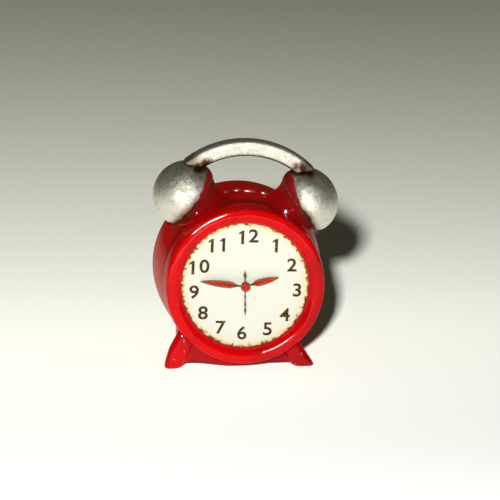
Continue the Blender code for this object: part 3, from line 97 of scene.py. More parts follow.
class CLOCK_PG_sizes(bpy.types.PropertyGroup):
    """Sizes of the visible pieces."""

    drum_radius: length("Drum radius", "Largest radius of the case", 15.02)
    drum_front_radius: length("Drum front radius", "Radius behind the bezel", 13.53)
    drum_rim_radius: length("Drum rim radius", "Radius of the flat rear rim", 13.8)
    drum_bore: length("Drum bore", "Radius of the opening at the back", 13.25)
    drum_front: length("Drum front", "Depth of the drum's front edge behind the dial", 2.8)
    drum_widest: length("Drum widest", "Depth at which the drum is widest", 17.5)
    drum_rear: length("Drum rear", "Depth of the drum's rear edge", 19.48)
    bezel_outer: length("Bezel outer radius", "Outside radius of the bezel", 14.08)
    bezel_inner: length("Bezel inner radius", "Radius of the dial that shows", 11.1)
    bezel_crest: length("Bezel crest", "How far the bezel stands proud of the dial", 1.58)
    dial_radius: length("Dial radius", "Radius of the printed dial", 11.8)
    numeral_height: length("Numeral height", "Height of a numeral", 2.42)
    minute_hand: length("Minute hand", "Length of the minute hand", 8.0)
    hour_hand: length("Hour hand", "Length of the hour hand", 6.1)
    hand_width: length("Hand width", "Widest part of the two leaf hands", 1.2)
    alarm_hand: length("Alarm hand", "Length of the thin alarm hand", 5.3)
    alarm_tail: length("Alarm hand tail", "Length of the alarm hand's tail", 2.7)
    bell_radius: length("Bell radius", "Radius of a bell's rim", 5.94)
    bell_height: length("Bell height", "Height of a bell's dome", 5.84)
    bell_distance: length("Bell distance", "Distance from the hub to a bell's rim", 17.7)
    bell_depth: length("Bell depth", "Depth of the bells and handle behind the dial", 7.6)
    handle_top: length("Handle top", "Height of the handle above the hub", 24.47)
    handle_radius: length("Handle radius", "Outside radius of the arch", 17.0)
    handle_thickness: length("Handle thickness", "Thickness of the arch", 2.8)
    handle_width: length("Handle width", "Width of the arch from front to back", 3.9)


class CLOCK_PG_angles(bpy.types.PropertyGroup):
    """Directions of the hands and bells."""

    minute_hand: turn("Minute hand", "Clockwise from twelve", 274.0)
    hour_hand: turn("Hour hand", "Clockwise from twelve", 72.6)
    alarm_hand: turn("Alarm hand", "Clockwise from twelve", 176.0)
    bell_direction: turn("Bell direction", "Of a bell's rim, from straight up", 36.75)
    bell_tilt: turn("Bell tilt", "Of a bell's axis, from straight up", 54.0)
    handle_reach: turn("Handle reach", "From the top of the arch to its ends", 42.0)


class CLOCK_PG_colours(bpy.types.PropertyGroup):
    """Colours of the finishes."""

    enamel: colour("Enamel", "Gloss red of the case", 0.66, 0.001, 0.002)
    # Deep red of thick enamel, also used as painted shade on the bezel, the web and the right foot
    enamel_deep_and_shade: colour("Deep enamel", "Red where the enamel lies thick", 0.27, 0.001, 0.003)
    silver: colour("Silver paint", "Worn silver of bells and handle", 0.74, 0.72, 0.62)
    # Olive tarnish, also used as painted shade on the upper silver
    tarnish_and_top_shade: colour("Tarnish", "Olive grey mottling on the silver", 0.19, 0.18, 0.095)
    stain: colour("Stain", "Dark brown where handle and bells meet", 0.16, 0.055, 0.014)
    stain_core: colour("Stain core", "Near black in the middle of a stain", 0.035, 0.012, 0.004)
    # Painted shade laid in the crease behind the bezel
    crease: colour("Crease", "Dark red in the crease behind the bezel", 0.11, 0.003, 0.004)
    cream: colour("Dial", "Cream of the dial", 0.745, 0.752, 0.655)
    dial_edge: colour("Dial edge", "Yellowed paper near the bezel", 0.74, 0.55, 0.18)
    paper: colour("Aged paper", "Pale yellow towards the bezel", 0.8, 0.68, 0.27)
    scorch: colour("Scorch", "Brown specks along the bezel", 0.42, 0.2, 0.03)
    ink: colour("Numerals", "Dark brown print", 0.055, 0.03, 0.008)
    hand: colour("Hands", "Thin red of the leaf hands", 0.62, 0.035, 0.02)
    hand_edge: colour("Hand outline", "Dark outline of the red hands", 0.06, 0.012, 0.006)
    needle: colour("Needle", "Olive brown of the alarm hand", 0.2, 0.16, 0.05)
    floor: colour("Floor", "Pale floor in front of the clock", 0.39, 0.39, 0.374)
    floor_middle: colour("Floor middle", "Floor just behind the clock", 0.589, 0.595, 0.531)
    background: colour("Background", "Floor far behind the clock", 0.563, 0.57, 0.454)
    floor_right: colour("Floor at the right", "Where less light falls", 0.19, 0.19, 0.155)
    sky: colour("Sky", "Dim warm light from all round", 0.52, 0.495, 0.35)


def sizes():
    """The sizes in use."""
    return bpy.context.scene.clock_sizes


def angles():
    """The directions in use."""
    return bpy.context.scene.clock_angles


def colours():
    """The colours in use."""
    return bpy.context.scene.clock_colours


# Modelling

def begin(name, add, **settings):
    """Add a primitive with nothing else selected, and name it."""
    bpy.ops.object.select_all(action="DESELECT")
    add(**settings)
    piece = bpy.context.object
    piece.name = name
    piece.data.name = name
    return piece


def draw(name, points):
    """Draw a closed line by extruding one vertex from point to point, and stay in edit mode."""
    piece = begin(name, bpy.ops.mesh.primitive_plane_add, size=MM)
    edit_all()
    bpy.ops.mesh.select_mode(type="VERT")
    bpy.ops.mesh.merge(type="CENTER")
    path = [Vector(point) for point in points]
    bpy.ops.transform.translate(value=path[0])
    for here, there in zip(path, path[1:] + path[:1]):
        bpy.ops.mesh.extrude_vertices_move(TRANSFORM_OT_translate={"value": there - here})
    bpy.ops.mesh.select_all(action="SELECT")
    bpy.ops.mesh.remove_doubles(threshold=JOIN)
    return piece


def turned(name, profile, steps=128):
    """Draw a profile of (radius, depth) and spin it about the Y axis."""
    piece = draw(name, [(radius, depth, 0.0) for radius, depth in profile])
    bpy.ops.mesh.spin(steps=steps, angle=TURN, center=(0.0, 0.0, 0.0), axis=(0.0, 1.0, 0.0))
    close_up()
    return piece


def ring(name, inner, outer, front, back, steps=128):
    """A plain ring, or a disc if its inner radius is 0."""
    return turned(name, [(inner, front), (outer, front), (outer, back), (inner, back)], steps)


def in_mm(points):
    """Points in metres, from a table in millimetres."""
    return [(x * MM, z * MM) for x, z in points]


def both_halves(right, tip):
    """The right half of an outline, its tip on the middle line, and the right half mirrored."""
    return right + [(0.0, tip)] + [(-x, z) for x, z in reversed(right)]


def flat(name, outline, front, back, slant=0.0):
    """Draw an outline of (across, up), fill it and extrude it from front to back, aslant if asked."""
    piece = draw(name, [(x, front, z) for x, z in outline])
    bpy.ops.mesh.edge_face_add()
    bpy.ops.mesh.extrude_region_move(TRANSFORM_OT_translate={"value": (slant, back - front, 0.0)})
    close_up()
    return piece


def close_up():
    """Merge doubles, turn the faces outwards and leave edit mode."""
    bpy.ops.mesh.select_all(action="SELECT")
    bpy.ops.mesh.remove_doubles(threshold=JOIN)
    bpy.ops.mesh.normals_make_consistent(inside=False)
    bpy.ops.object.mode_set(mode="OBJECT")


def edit_all():
    """Go into edit mode with everything selected."""
    bpy.ops.object.mode_set(mode="EDIT")
    bpy.ops.mesh.select_all(action="SELECT")


def cut_below(height):
    """Cut the shape in edit mode off flat at a height, and leave edit mode."""
    bpy.ops.mesh.bisect(plane_co=(0.0, 0.0, height), plane_no=(0.0, 0.0, 1.0), clear_inner=True, use_fill=True,
                        threshold=JOIN)
    bpy.ops.object.mode_set(mode="OBJECT")


def pick(*pieces):
    """Select these pieces alone, the first one active."""
    bpy.ops.object.select_all(action="DESELECT")
    for piece in pieces:
        piece.select_set(True)
    bpy.context.view_layer.objects.active = pieces[0]


def reshape(piece, kind, **settings):
    """Add a modifier, set it and apply it."""
    pick(piece)
    bpy.ops.object.modifier_add(type=kind)
    modifier = piece.modifiers[-1]
    for key, value in settings.items():
        setattr(modifier, key, value)
    bpy.ops.object.modifier_apply(modifier=modifier.name)


def combine(piece, other, operation):
    """Join another shape to a piece, or cut it away, and use it up."""
    reshape(piece, "BOOLEAN", operation=operation, object=other, solver="EXACT")
    bpy.data.objects.remove(other, do_unlink=True)


def join(pieces, name):
    """Join pieces into the first one, under a new name."""
    pick(*pieces)
    bpy.ops.object.join()
    pieces[0].name = name
    return pieces[0]


def soften(piece, voxel, rounds):
    """Remesh a piece evenly, then smooth it, which rounds its edges and fills its corners."""
    reshape(piece, "REMESH", mode="VOXEL", voxel_size=voxel)
    reshape(piece, "SMOOTH", factor=0.5, iterations=rounds)


def place(piece, matrix):
    """Put a piece where it belongs, and keep its place in its mesh."""
    pick(piece)
    piece.matrix_world = matrix
    bpy.ops.object.transform_apply(location=True, rotation=True, scale=True)
    return piece


def hand_over(piece, body, paints, nodes=(), crease=35):
    """Smooth a finished piece up to a crease angle, paint it, and make it ride on its body."""
    pick(piece)
    bpy.ops.object.shade_smooth_by_angle(angle=math.radians(crease))
    for paint in paints:
        piece.data.materials.append(paint.material)
    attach(piece, body)
    if nodes:
        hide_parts(*nodes)


def sweep(centre, radii, start, end, steps):
    """Points along part of an ellipse."""
    turns = [start + (end - start) * i / steps for i in range(steps + 1)]
    return [(centre[0] + radii[0] * math.cos(a), centre[1] + radii[1] * math.sin(a)) for a in turns]


def swing(start, end):
    """The turn that carries one direction to another."""
    return Vector(start).rotation_difference(Vector(end)).to_matrix().to_4x4()


def bell_place(side):
    """Where a bell's rim is, with +Y along the bell's axis; side is -1 on the left and 1 on the right."""
    s, a = sizes(), angles()
    rim = (side * s.bell_distance * math.sin(a.bell_direction), s.bell_depth,
           s.bell_distance * math.cos(a.bell_direction))
    axis = (side * math.sin(a.bell_tilt), 0.0, math.cos(a.bell_tilt))
    return Matrix.Translation(rim) @ swing((0.0, 1.0, 0.0), axis)


def drum_radius_at(depth):
    """Radius of the drum between its front edge and its widest place."""
    s = sizes()
    share = (depth - s.drum_front) / (s.drum_widest - s.drum_front)
    return s.drum_front_radius + (s.drum_radius - s.drum_front_radius) * math.sin(QUARTER * share)


def drum_swell(gap=0.0):
    """Profile of the drum's side up to its widest place, or a little outside it."""
    s = sizes()
    steps = 10
    depths = [s.drum_front + (s.drum_widest - s.drum_front) * i / steps for i in range(steps + 1)]
    return [(drum_radius_at(depth) + gap, depth) for depth in depths]


# Shader maths

class Wire:
    """A shader socket that can be used in sums."""

    def __init__(self, paint, socket):
        self.paint = paint
        self.socket = socket

    def __add__(self, other):
        return self.paint.maths("ADD", self, other)

    def __radd__(self, other):
        return self.paint.maths("ADD", other, self)

    def __sub__(self, other):
        return self.paint.maths("SUBTRACT", self, other)

    def __rsub__(self, other):
        return self.paint.maths("SUBTRACT", other, self)

    def __mul__(self, other):
        return self.paint.maths("MULTIPLY", self, other)

    def __rmul__(self, other):
        return self.paint.maths("MULTIPLY", other, self)


class Paint:
    """One material and the nodes that make its finish."""

    # Numbers of the Mix node's colour sockets
    FIRST, SECOND, MIXED = 6, 7, 2

    def __init__(self, name, **constants):
        self.material = bpy.data.materials.new(name)
        self.material.use_nodes = True
        self.tree = self.material.node_tree
        self.shader = self.tree.nodes["Principled BSDF"]
        self.place = self.add("ShaderNodeTexCoord", output="Object")
        self.use(**constants)

    def plug(self, value, socket):
        """Link a wire to a socket, or set the socket to a constant."""
        if isinstance(value, Wire):
            self.tree.links.new(value.socket, socket)
        else:
            socket.default_value = value

    def use(self, **sockets):
        """Give shader sockets their links or constants."""
        for name, value in sockets.items():
            self.plug(value, self.shader.inputs[name.replace("_", " ")])

    def blend(self, amount, first, second, roughness, **others):
        """Give the shader a mix of two colours, its roughness and any other sockets."""
        self.use(Base_Color=self.mix(amount, first, second), Roughness=roughness, **others)
        return self

    def base_colour(self):
        """What the shader's colour is so far."""
        return Wire(self, self.shader.inputs["Base Color"].links[0].from_socket)

    def add(self, kind, settings=None, inputs=None, output=0):
        """Add a node, set it, give its sockets values or links, and return one output."""
        node = self.tree.nodes.new(kind)
        for key, value in (settings or {}).items():
            setattr(node, key, value)
        for key, value in (inputs or {}).items():
            self.plug(value, node.inputs[key])
        return Wire(self, node.outputs[output])

    def maths(self, operation, first, second=0.0):
        """One Math node."""
        return self.add("ShaderNodeMath", {"operation": operation}, {0: first, 1: second})

    def fade(self, value, low, high):
        """0 below low and 1 above high, smooth between them; low may be the larger."""
        return self.add("ShaderNodeMapRange", {"interpolation_type": "SMOOTHSTEP"},
                        {"Value": value, "From Min": low, "From Max": high})

    def noise(self, size, detail=3.0, roughness=0.5, offset=0.0):
        """Noise whose blotches are about the given size in metres."""
        moved = self.add("ShaderNodeVectorMath", {"operation": "ADD"}, {0: self.place, 1: (offset,) * 3})
        return self.add("ShaderNodeTexNoise", None,
                        {"Vector": moved, "Scale": 1.0 / size, "Detail": detail, "Roughness": roughness})

    def mix(self, amount, first, second):
        """From one colour to another."""
        first, second = (value if isinstance(value, Wire) else (*value, 1.0) for value in (first, second))
        return self.add("ShaderNodeMix", {"data_type": "RGBA"},
                        {"Factor": amount, self.FIRST: first, self.SECOND: second}, self.MIXED)

    def axes(self, matrix=None):
        """Across, depth and up, in the frame that a matrix places."""
        vector = self.place
        if matrix is not None:
            back = matrix.inverted()
            vector = self.add("ShaderNodeMapping", None, {"Vector": self.place, "Location": back.to_translation(),
                                                          "Rotation": back.to_euler()})
        split = self.add("ShaderNodeSeparateXYZ", None, {0: vector})
        return [Wire(self, output) for output in split.socket.node.outputs]

    def distance(self, first, second):
        """Length of a vector of two parts."""
        return self.maths("SQRT", first * first + second * second)

    def bump(self, height, depth, strength=1.0):
        """Turn a height of 0 to 1 into relief of a given depth."""
        return self.add("ShaderNodeBump", None, {"Height": height, "Distance": depth, "Strength": strength})


def enamel_paint(name, deep=0.0):
    """Thick gloss enamel: slightly uneven, darker where it pools, with a few dull specks."""
    c = colours()
    paint = Paint(name, IOR=1.03, Coat_Weight=0.25, Coat_IOR=1.55, Coat_Roughness=0.04)
    cloud = paint.noise(4.0 * MM, 2.0)
    grime = paint.noise(1.1 * MM, 5.0, 0.65, 3.0)
    specks = paint.fade(paint.noise(0.34 * MM, 2.0, 0.5, 7.0), 0.63, 0.68)
    pooled = paint.fade(cloud, 0.35, 0.75) * 0.35 + deep
    red = paint.mix(pooled, c.enamel, c.enamel_deep_and_shade)
    red = paint.mix(paint.fade(grime, 0.58, 0.72) * 0.25, red, c.enamel_deep_and_shade)
    return paint.blend(specks * 0.2, red, c.stain, 0.3 + paint.fade(grime, 0.45, 0.75) * 0.16 + specks * 0.2,
                       Normal=paint.bump(cloud + grime * 0.25 + specks * 0.45, 0.1 * MM, 0.8))


def deepen(paint, amount):
    """Turn an enamel to its deep red, where less light reaches it."""
    paint.use(Base_Color=paint.mix(amount, paint.base_colour(), colours().enamel_deep_and_shade))


# Stains where the handle's ends meet the bells: millimetres across and up from the hub, and size
BLOTCHES = ((-7.7, 19.9, 1.3), (-9.0, 19.4, 1.1), (8.0, 20.1, 1.0), (9.3, 20.0, 1.2), (10.6, 19.5, 1.0))


def silver_paint(name, stained, wear_and_top_shade):
    """Brushed-on silver paint, mottled with tarnish and with painted shade that darkens it towards the top, and brown
    stains at the joins.
    """
    c = colours()
    paint = Paint(name, IOR=1.5)
    patches = paint.noise(1.9 * MM, 5.0, 0.65)
    grain = paint.noise(0.22 * MM, 3.0, 0.6, 5.0)
    specks = paint.fade(paint.noise(0.35 * MM, 2.0, 0.6, 9.0), 0.61, 0.68)
    x, _, z = paint.axes(CLOCK)
    # Tarnish mottling, plus painted shade: darker towards the top of the bells and handle, in place of their dark
    # reflection
    worn = paint.fade(patches * 0.8 + grain * 0.5 + paint.fade(z, 11.0 * MM, 21.0 * MM) * 0.22, 0.68, 0.95)
    silver = paint.mix(worn * wear_and_top_shade, c.silver, c.tarnish_and_top_shade)
    silver = paint.mix(specks * 0.5, silver, c.tarnish_and_top_shade)
    stain, red = stained(paint, patches, grain)
    for across, up, size in BLOTCHES:
        away = paint.distance(x - across * MM, z - up * MM) + patches * 2.2 * MM + grain * 2.0 * MM
        stain = paint.maths("MAXIMUM", stain, paint.fade(away, (size + 2.6) * MM, (size + 1.1) * MM))
    silver = paint.mix(stain, silver, c.stain)
    silver = paint.mix(stain * stain, silver, c.stain_core)
    return paint.blend(red, silver, c.enamel_deep_and_shade, 0.29 + worn * 0.14 + grain * 0.08,
                       Metallic=0.88 - worn * 0.1 - red * 0.75,
                       Normal=paint.bump(grain * 1.9 + patches * 2.0, 0.065 * MM, 0.9))


# Operators

class CLOCK_OT_case(bpy.types.Operator):
    """Drum with its two flared bell seats"""

    bl_idname = "clock.case"
    bl_label = "Drum case"

    # Seat: millimetres wider than its neck, and below the bell's rim
    FLARE = ((0.5, 0.3), (0.95, 1.5), (0.8, 1.85), (0.35, 2.6), (0.1, 4.0), (0.0, 7.0))
    # Beads on the drum's top: degrees from the top, millimetres further back, stretch
    BEADS = ((-17.0, 0.0, 1.4), (-5.5, 0.4, 0.7), (3.0, 0.1, 1.1), (14.0, 0.6, 0.8))
    # Drops on the feet and beside the seats: place in millimetres, outward direction, width, height
    DROPS = (((-9.83, 1.5, -10.93), (0.0, -1.0, 0.0), 0.11, 0.85),
             ((-9.68, 1.62, -12.76), (0.28, -0.95, -0.1), 0.1, 0.45),
             ((-11.3, 1.52, -14.3), (0.0, -1.0, 0.0), 0.3, 0.16),
             ((10.9, 1.0, -12.1), (0.0, -1.0, 0.0), 0.1, 0.5),
             ((9.97, 1.43, -14.1), (-0.48, -0.74, -0.48), 0.3, 0.2),
             ((-8.91, 3.15, 11.59), (0.02, -0.96, -0.28), 0.2, 0.7),
             ((6.64, 3.35, 12.66), (-0.23, -0.96, 0.16), 0.2, 0.9))

    def execute(self, context):
        s = sizes()
        shoulder = sweep((s.drum_rim_radius, s.drum_widest),
                         (s.drum_radius - s.drum_rim_radius, s.drum_rear - s.drum_widest), 0.0, QUARTER, 10)
        drum = turned("drum_case", [(s.drum_bore, s.drum_front)] + drum_swell() + shoulder[1:]
                      + [(s.drum_bore, s.drum_rear)])
        neck = s.bell_radius - 1.65 * MM
        flare = [(neck + wider * MM, -below * MM) for wider, below in self.FLARE]
        flare = [(0.0, flare[0][1])] + flare + [(0.0, flare[-1][1])]
        trim = s.drum_bore + 0.3 * MM
        for side in (-1, 1):
            seat = place(turned("bell_seat", flare, steps=96), bell_place(side))
            combine(seat, ring("seat_trim", 0.0, trim, s.drum_front, s.drum_rear, steps=96), "DIFFERENCE")
            combine(drum, seat, "UNION")
        place(drum, CLOCK)
        soften(drum, voxel=0.22 * MM, rounds=5)
        paint = enamel_paint("case_enamel", deep=0.12)
        self.dirty_seats_and_crease_shade(paint)
        hand_over(drum, "case", [paint], ["case_shell"], crease=60)
        self.paint_runs()
        return {"FINISHED"}

    def paint_runs(self):
        """Beads of thick glossy enamel across the drum's top, and drops beside the seats and on the feet."""
        bead = begin("paint_run", bpy.ops.mesh.primitive_uv_sphere_add, segments=24, ring_count=12, radius=1.0)
        edit_all()
        bpy.ops.transform.resize(value=(1.2 * MM, 0.5 * MM, 0.4 * MM))
        cut_below(-0.2 * MM)
        depth, slope, flatness = 10.4 * MM, 0.09, 0.25
        places = []
        for turn_from_top, back, stretch in self.BEADS:
            around = Matrix.Rotation(math.radians(turn_from_top), 4, "Y")
            out = Matrix.Translation((0.0, depth + back * MM, drum_radius_at(depth) + back * slope * MM))
            places.append(around @ out @ Matrix.Diagonal((stretch, 1.0, 1.0, 1.0)))
        for point, outward, width, height in self.DROPS:
            places.append(Matrix.Translation(Vector(point) * MM) @ swing((0.0, 0.0, 1.0), outward)
                          @ Matrix.Diagonal((width, height, flatness, 1.0)))
        runs = []
        for where in places:
            run = bead.copy()
            run.data = bead.data.copy()
            bpy.context.scene.collection.objects.link(run)
            runs.append(place(run, CLOCK @ where))
        bpy.data.objects.remove(bead, do_unlink=True)
        paint = enamel_paint("run_enamel", deep=0.5)
        paint.use(IOR=1.9, Coat_Weight=1.0)
        hand_over(join(runs, "paint_runs"), "case", [paint], crease=60)

    def dirty_seats_and_crease_shade(self, paint):
        """Silver overspray and brown grime on the seats, just under the bells, and painted shade in the crease behind
        the bezel.
        """
        c = colours()
        red = paint.base_colour()
        ragged = paint.noise(0.9 * MM, 4.0, 0.65, 2.0)
        for side in (-1, 1):
            x, depth, z = paint.axes(CLOCK @ bell_place(side))
            near = paint.fade(paint.distance(x, z), 8.0 * MM, 7.0 * MM)
            grimy = paint.fade(depth + ragged * 4.0 * MM, -1.4 * MM, 0.6 * MM) * near
            silvery = paint.fade(depth + ragged * 1.6 * MM, -0.95 * MM, -0.75 * MM) * near
            red = paint.mix(grimy * 0.75, red, c.stain)
            red = paint.mix(silvery * 0.8, red, c.silver)
        _, depth, _ = paint.axes(CLOCK)
        # Painted shade: the drum turned dark red in the crease behind the bezel, fading towards the back
        crease = paint.fade(depth + ragged * 4.4 * MM, 10.4 * MM, 6.4 * MM)
        paint.use(Base_Color=paint.mix(crease * 0.7, red, c.crease))


class CLOCK_OT_bezel(bpy.types.Operator):
    """Rounded ring round the dial"""

    bl_idname = "clock.bezel"
    bl_label = "Bezel"

    # Lip and tapered wall: millimetres inside the outer radius, and behind the crest
    LIP = ((1.3, 0.005), (1.0, 0.05), (0.9, 0.07), (0.82, 0.09), (0.76, 0.11), (0.6, 0.16), (0.53, 0.19),
           (0.45, 0.26), (0.38, 0.36), (0.32, 0.52), (0.25, 0.9), (0.13, 1.9), (0.03, 3.1), (0.0, 4.0))

    def execute(self, context):
        s = sizes()
        crest_radius = (s.bezel_outer + s.bezel_inner) / 2
        inner = sweep((crest_radius, 0.0), (crest_radius - s.bezel_inner, s.bezel_crest), HALF, 1.5 * HALF, 12)
        outer = [(s.bezel_outer - less * MM, drop * MM - s.bezel_crest) for less, drop in self.LIP]
        spigot = s.drum_bore - 0.1 * MM
        rebate = s.dial_radius + 0.05 * MM
        rear = s.drum_front + 1.3 * MM
        shelf = [(s.bezel_outer, s.drum_front), (spigot, s.drum_front), (spigot, rear), (rebate, rear), (rebate, -GAP)]
        bezel = turned("bezel_ring_enamel", inner + outer + shelf, steps=160)
        place(bezel, CLOCK)
        paint = enamel_paint("bezel_enamel")
        x, _, z = paint.axes(CLOCK)
        # Painted shade: the bezel turned deep red towards its right and lower side
        deepen(paint, paint.fade(x - z * 0.3, 3.0 * MM, 15.0 * MM) * 0.42)
        hand_over(bezel, "case", [paint], ["bezel_ring"], crease=50)
        return {"FINISHED"}


class CLOCK_OT_dial(bpy.types.Operator):
    """Printed dial with its numerals"""

    bl_idname = "clock.dial"
    bl_label = "Dial"

    # Digit, and millimetres across and up from the hub
    NUMERALS = (("1", -0.49, 8.55), ("2", 1.53, 8.63), ("1", 5.39, 6.95), ("2", 8.21, 3.3), ("3", 9.14, -1.2),
                ("4", 7.01, -5.57), ("5", 3.95, -8.04), ("6", -0.57, -8.68), ("7", -4.37, -7.56),
                ("8", -7.36, -4.89), ("9", -8.89, -1.13), ("1", -9.16, 3.35), ("0", -7.07, 3.43),
                ("1", -5.8, 7.2), ("1", -3.8, 7.3))

    def execute(self, context):
        s, c = sizes(), colours()
        hole, thick = 0.65 * MM, 0.4 * MM
        dial = place(ring("dial_face", hole, s.dial_radius, 0.0, thick), CLOCK)
        paint = Paint("dial_print", IOR=1.2)
        x, _, z = paint.axes(CLOCK)
        radius = paint.distance(x, z)
        ragged = paint.noise(0.5 * MM, 4.0, 0.7)
        broad = paint.noise(3.0 * MM, 3.0, 0.5, 4.0)
        yellow = paint.fade(radius + ragged * 0.9 * MM + broad * 2.4 * MM, 11.2 * MM, 12.8 * MM)
        torn = paint.noise(0.75 * MM, 3.0, 0.75, 11.0)
        brown = paint.fade(radius + torn * 2.6 * MM, 11.95 * MM, 12.3 * MM)
        dark = paint.fade(radius + torn * 2.2 * MM, 12.05 * MM, 12.2 * MM)
        face = paint.mix(paint.fade(broad, 0.4, 0.8) * 0.06, c.cream, c.dial_edge)
        face = paint.mix(yellow * 0.55, face, c.paper)
        face = paint.mix(brown * 0.85, face, c.scorch)
        paint.blend(dark * 0.85, face, c.ink, 0.5 + ragged * 0.15, Normal=paint.bump(ragged, 0.015 * MM, 0.5))
        hand_over(dial, "case", [paint], ["dial_plate"])
        self.numerals()
        return {"FINISHED"}

    def numerals(self):
        """Numerals that lean a little and stand unevenly, as brushed on by hand."""
        c = colours()
        lean, made = math.radians(2), []
        for digit, across, up in self.NUMERALS:
            numeral = self.stroke() if digit == "1" else self.lettered(digit)
            numeral.rotation_euler.y = lean
            numeral.location = (HUB.x + across * MM, HUB.y - PRINT, HUB.z + up * MM)
            made.append(numeral)
        numerals = join(made, "dial_numerals")
        place(numerals, numerals.matrix_world.copy())
        paint = Paint("numeral_ink", IOR=1.1)
        blots = paint.noise(0.3 * MM, 3.0, 0.6)
        paint.blend(paint.fade(blots, 0.5, 0.75) * 0.3, c.ink, c.dial_edge, 0.5 + blots * 0.2)
        hand_over(numerals, "case", [paint])

    def stroke(self):
        """The numeral one: a plain stem with a flag."""
        half = sizes().numeral_height / 2
        stem, flag = 0.235 * MM, 0.56 * MM
        outline = [(-stem * 0.6, -half), (stem * 1.5, -half), (stem * 1.5, half), (0.0, half),
                   (-flag, half - 0.42 * MM), (-flag, half - 0.72 * MM), (-stem * 0.6, half - 0.5 * MM)]
        return flat("numeral_stroke", outline, 0.0, -PRINT)

    def lettered(self, digit):
        """A numeral from the plain lettering, widened and thickened."""
        digit_share = 0.75    # a digit's height in type of size 1
        text = begin("numeral", bpy.ops.object.text_add)
        text.data.body = digit
        text.data.size = sizes().numeral_height / digit_share
        text.data.align_x = text.data.align_y = "CENTER"
        text.data.extrude = PRINT
        text.data.offset = 0.06 * MM
        bpy.ops.object.convert(target="MESH")
        numeral = bpy.context.object
        numeral.rotation_euler = (QUARTER, 0.0, 0.0)
        numeral.scale = (1.12, 1.0, 1.0)
        bpy.ops.object.transform_apply(location=False, rotation=True, scale=True)
        return numeral


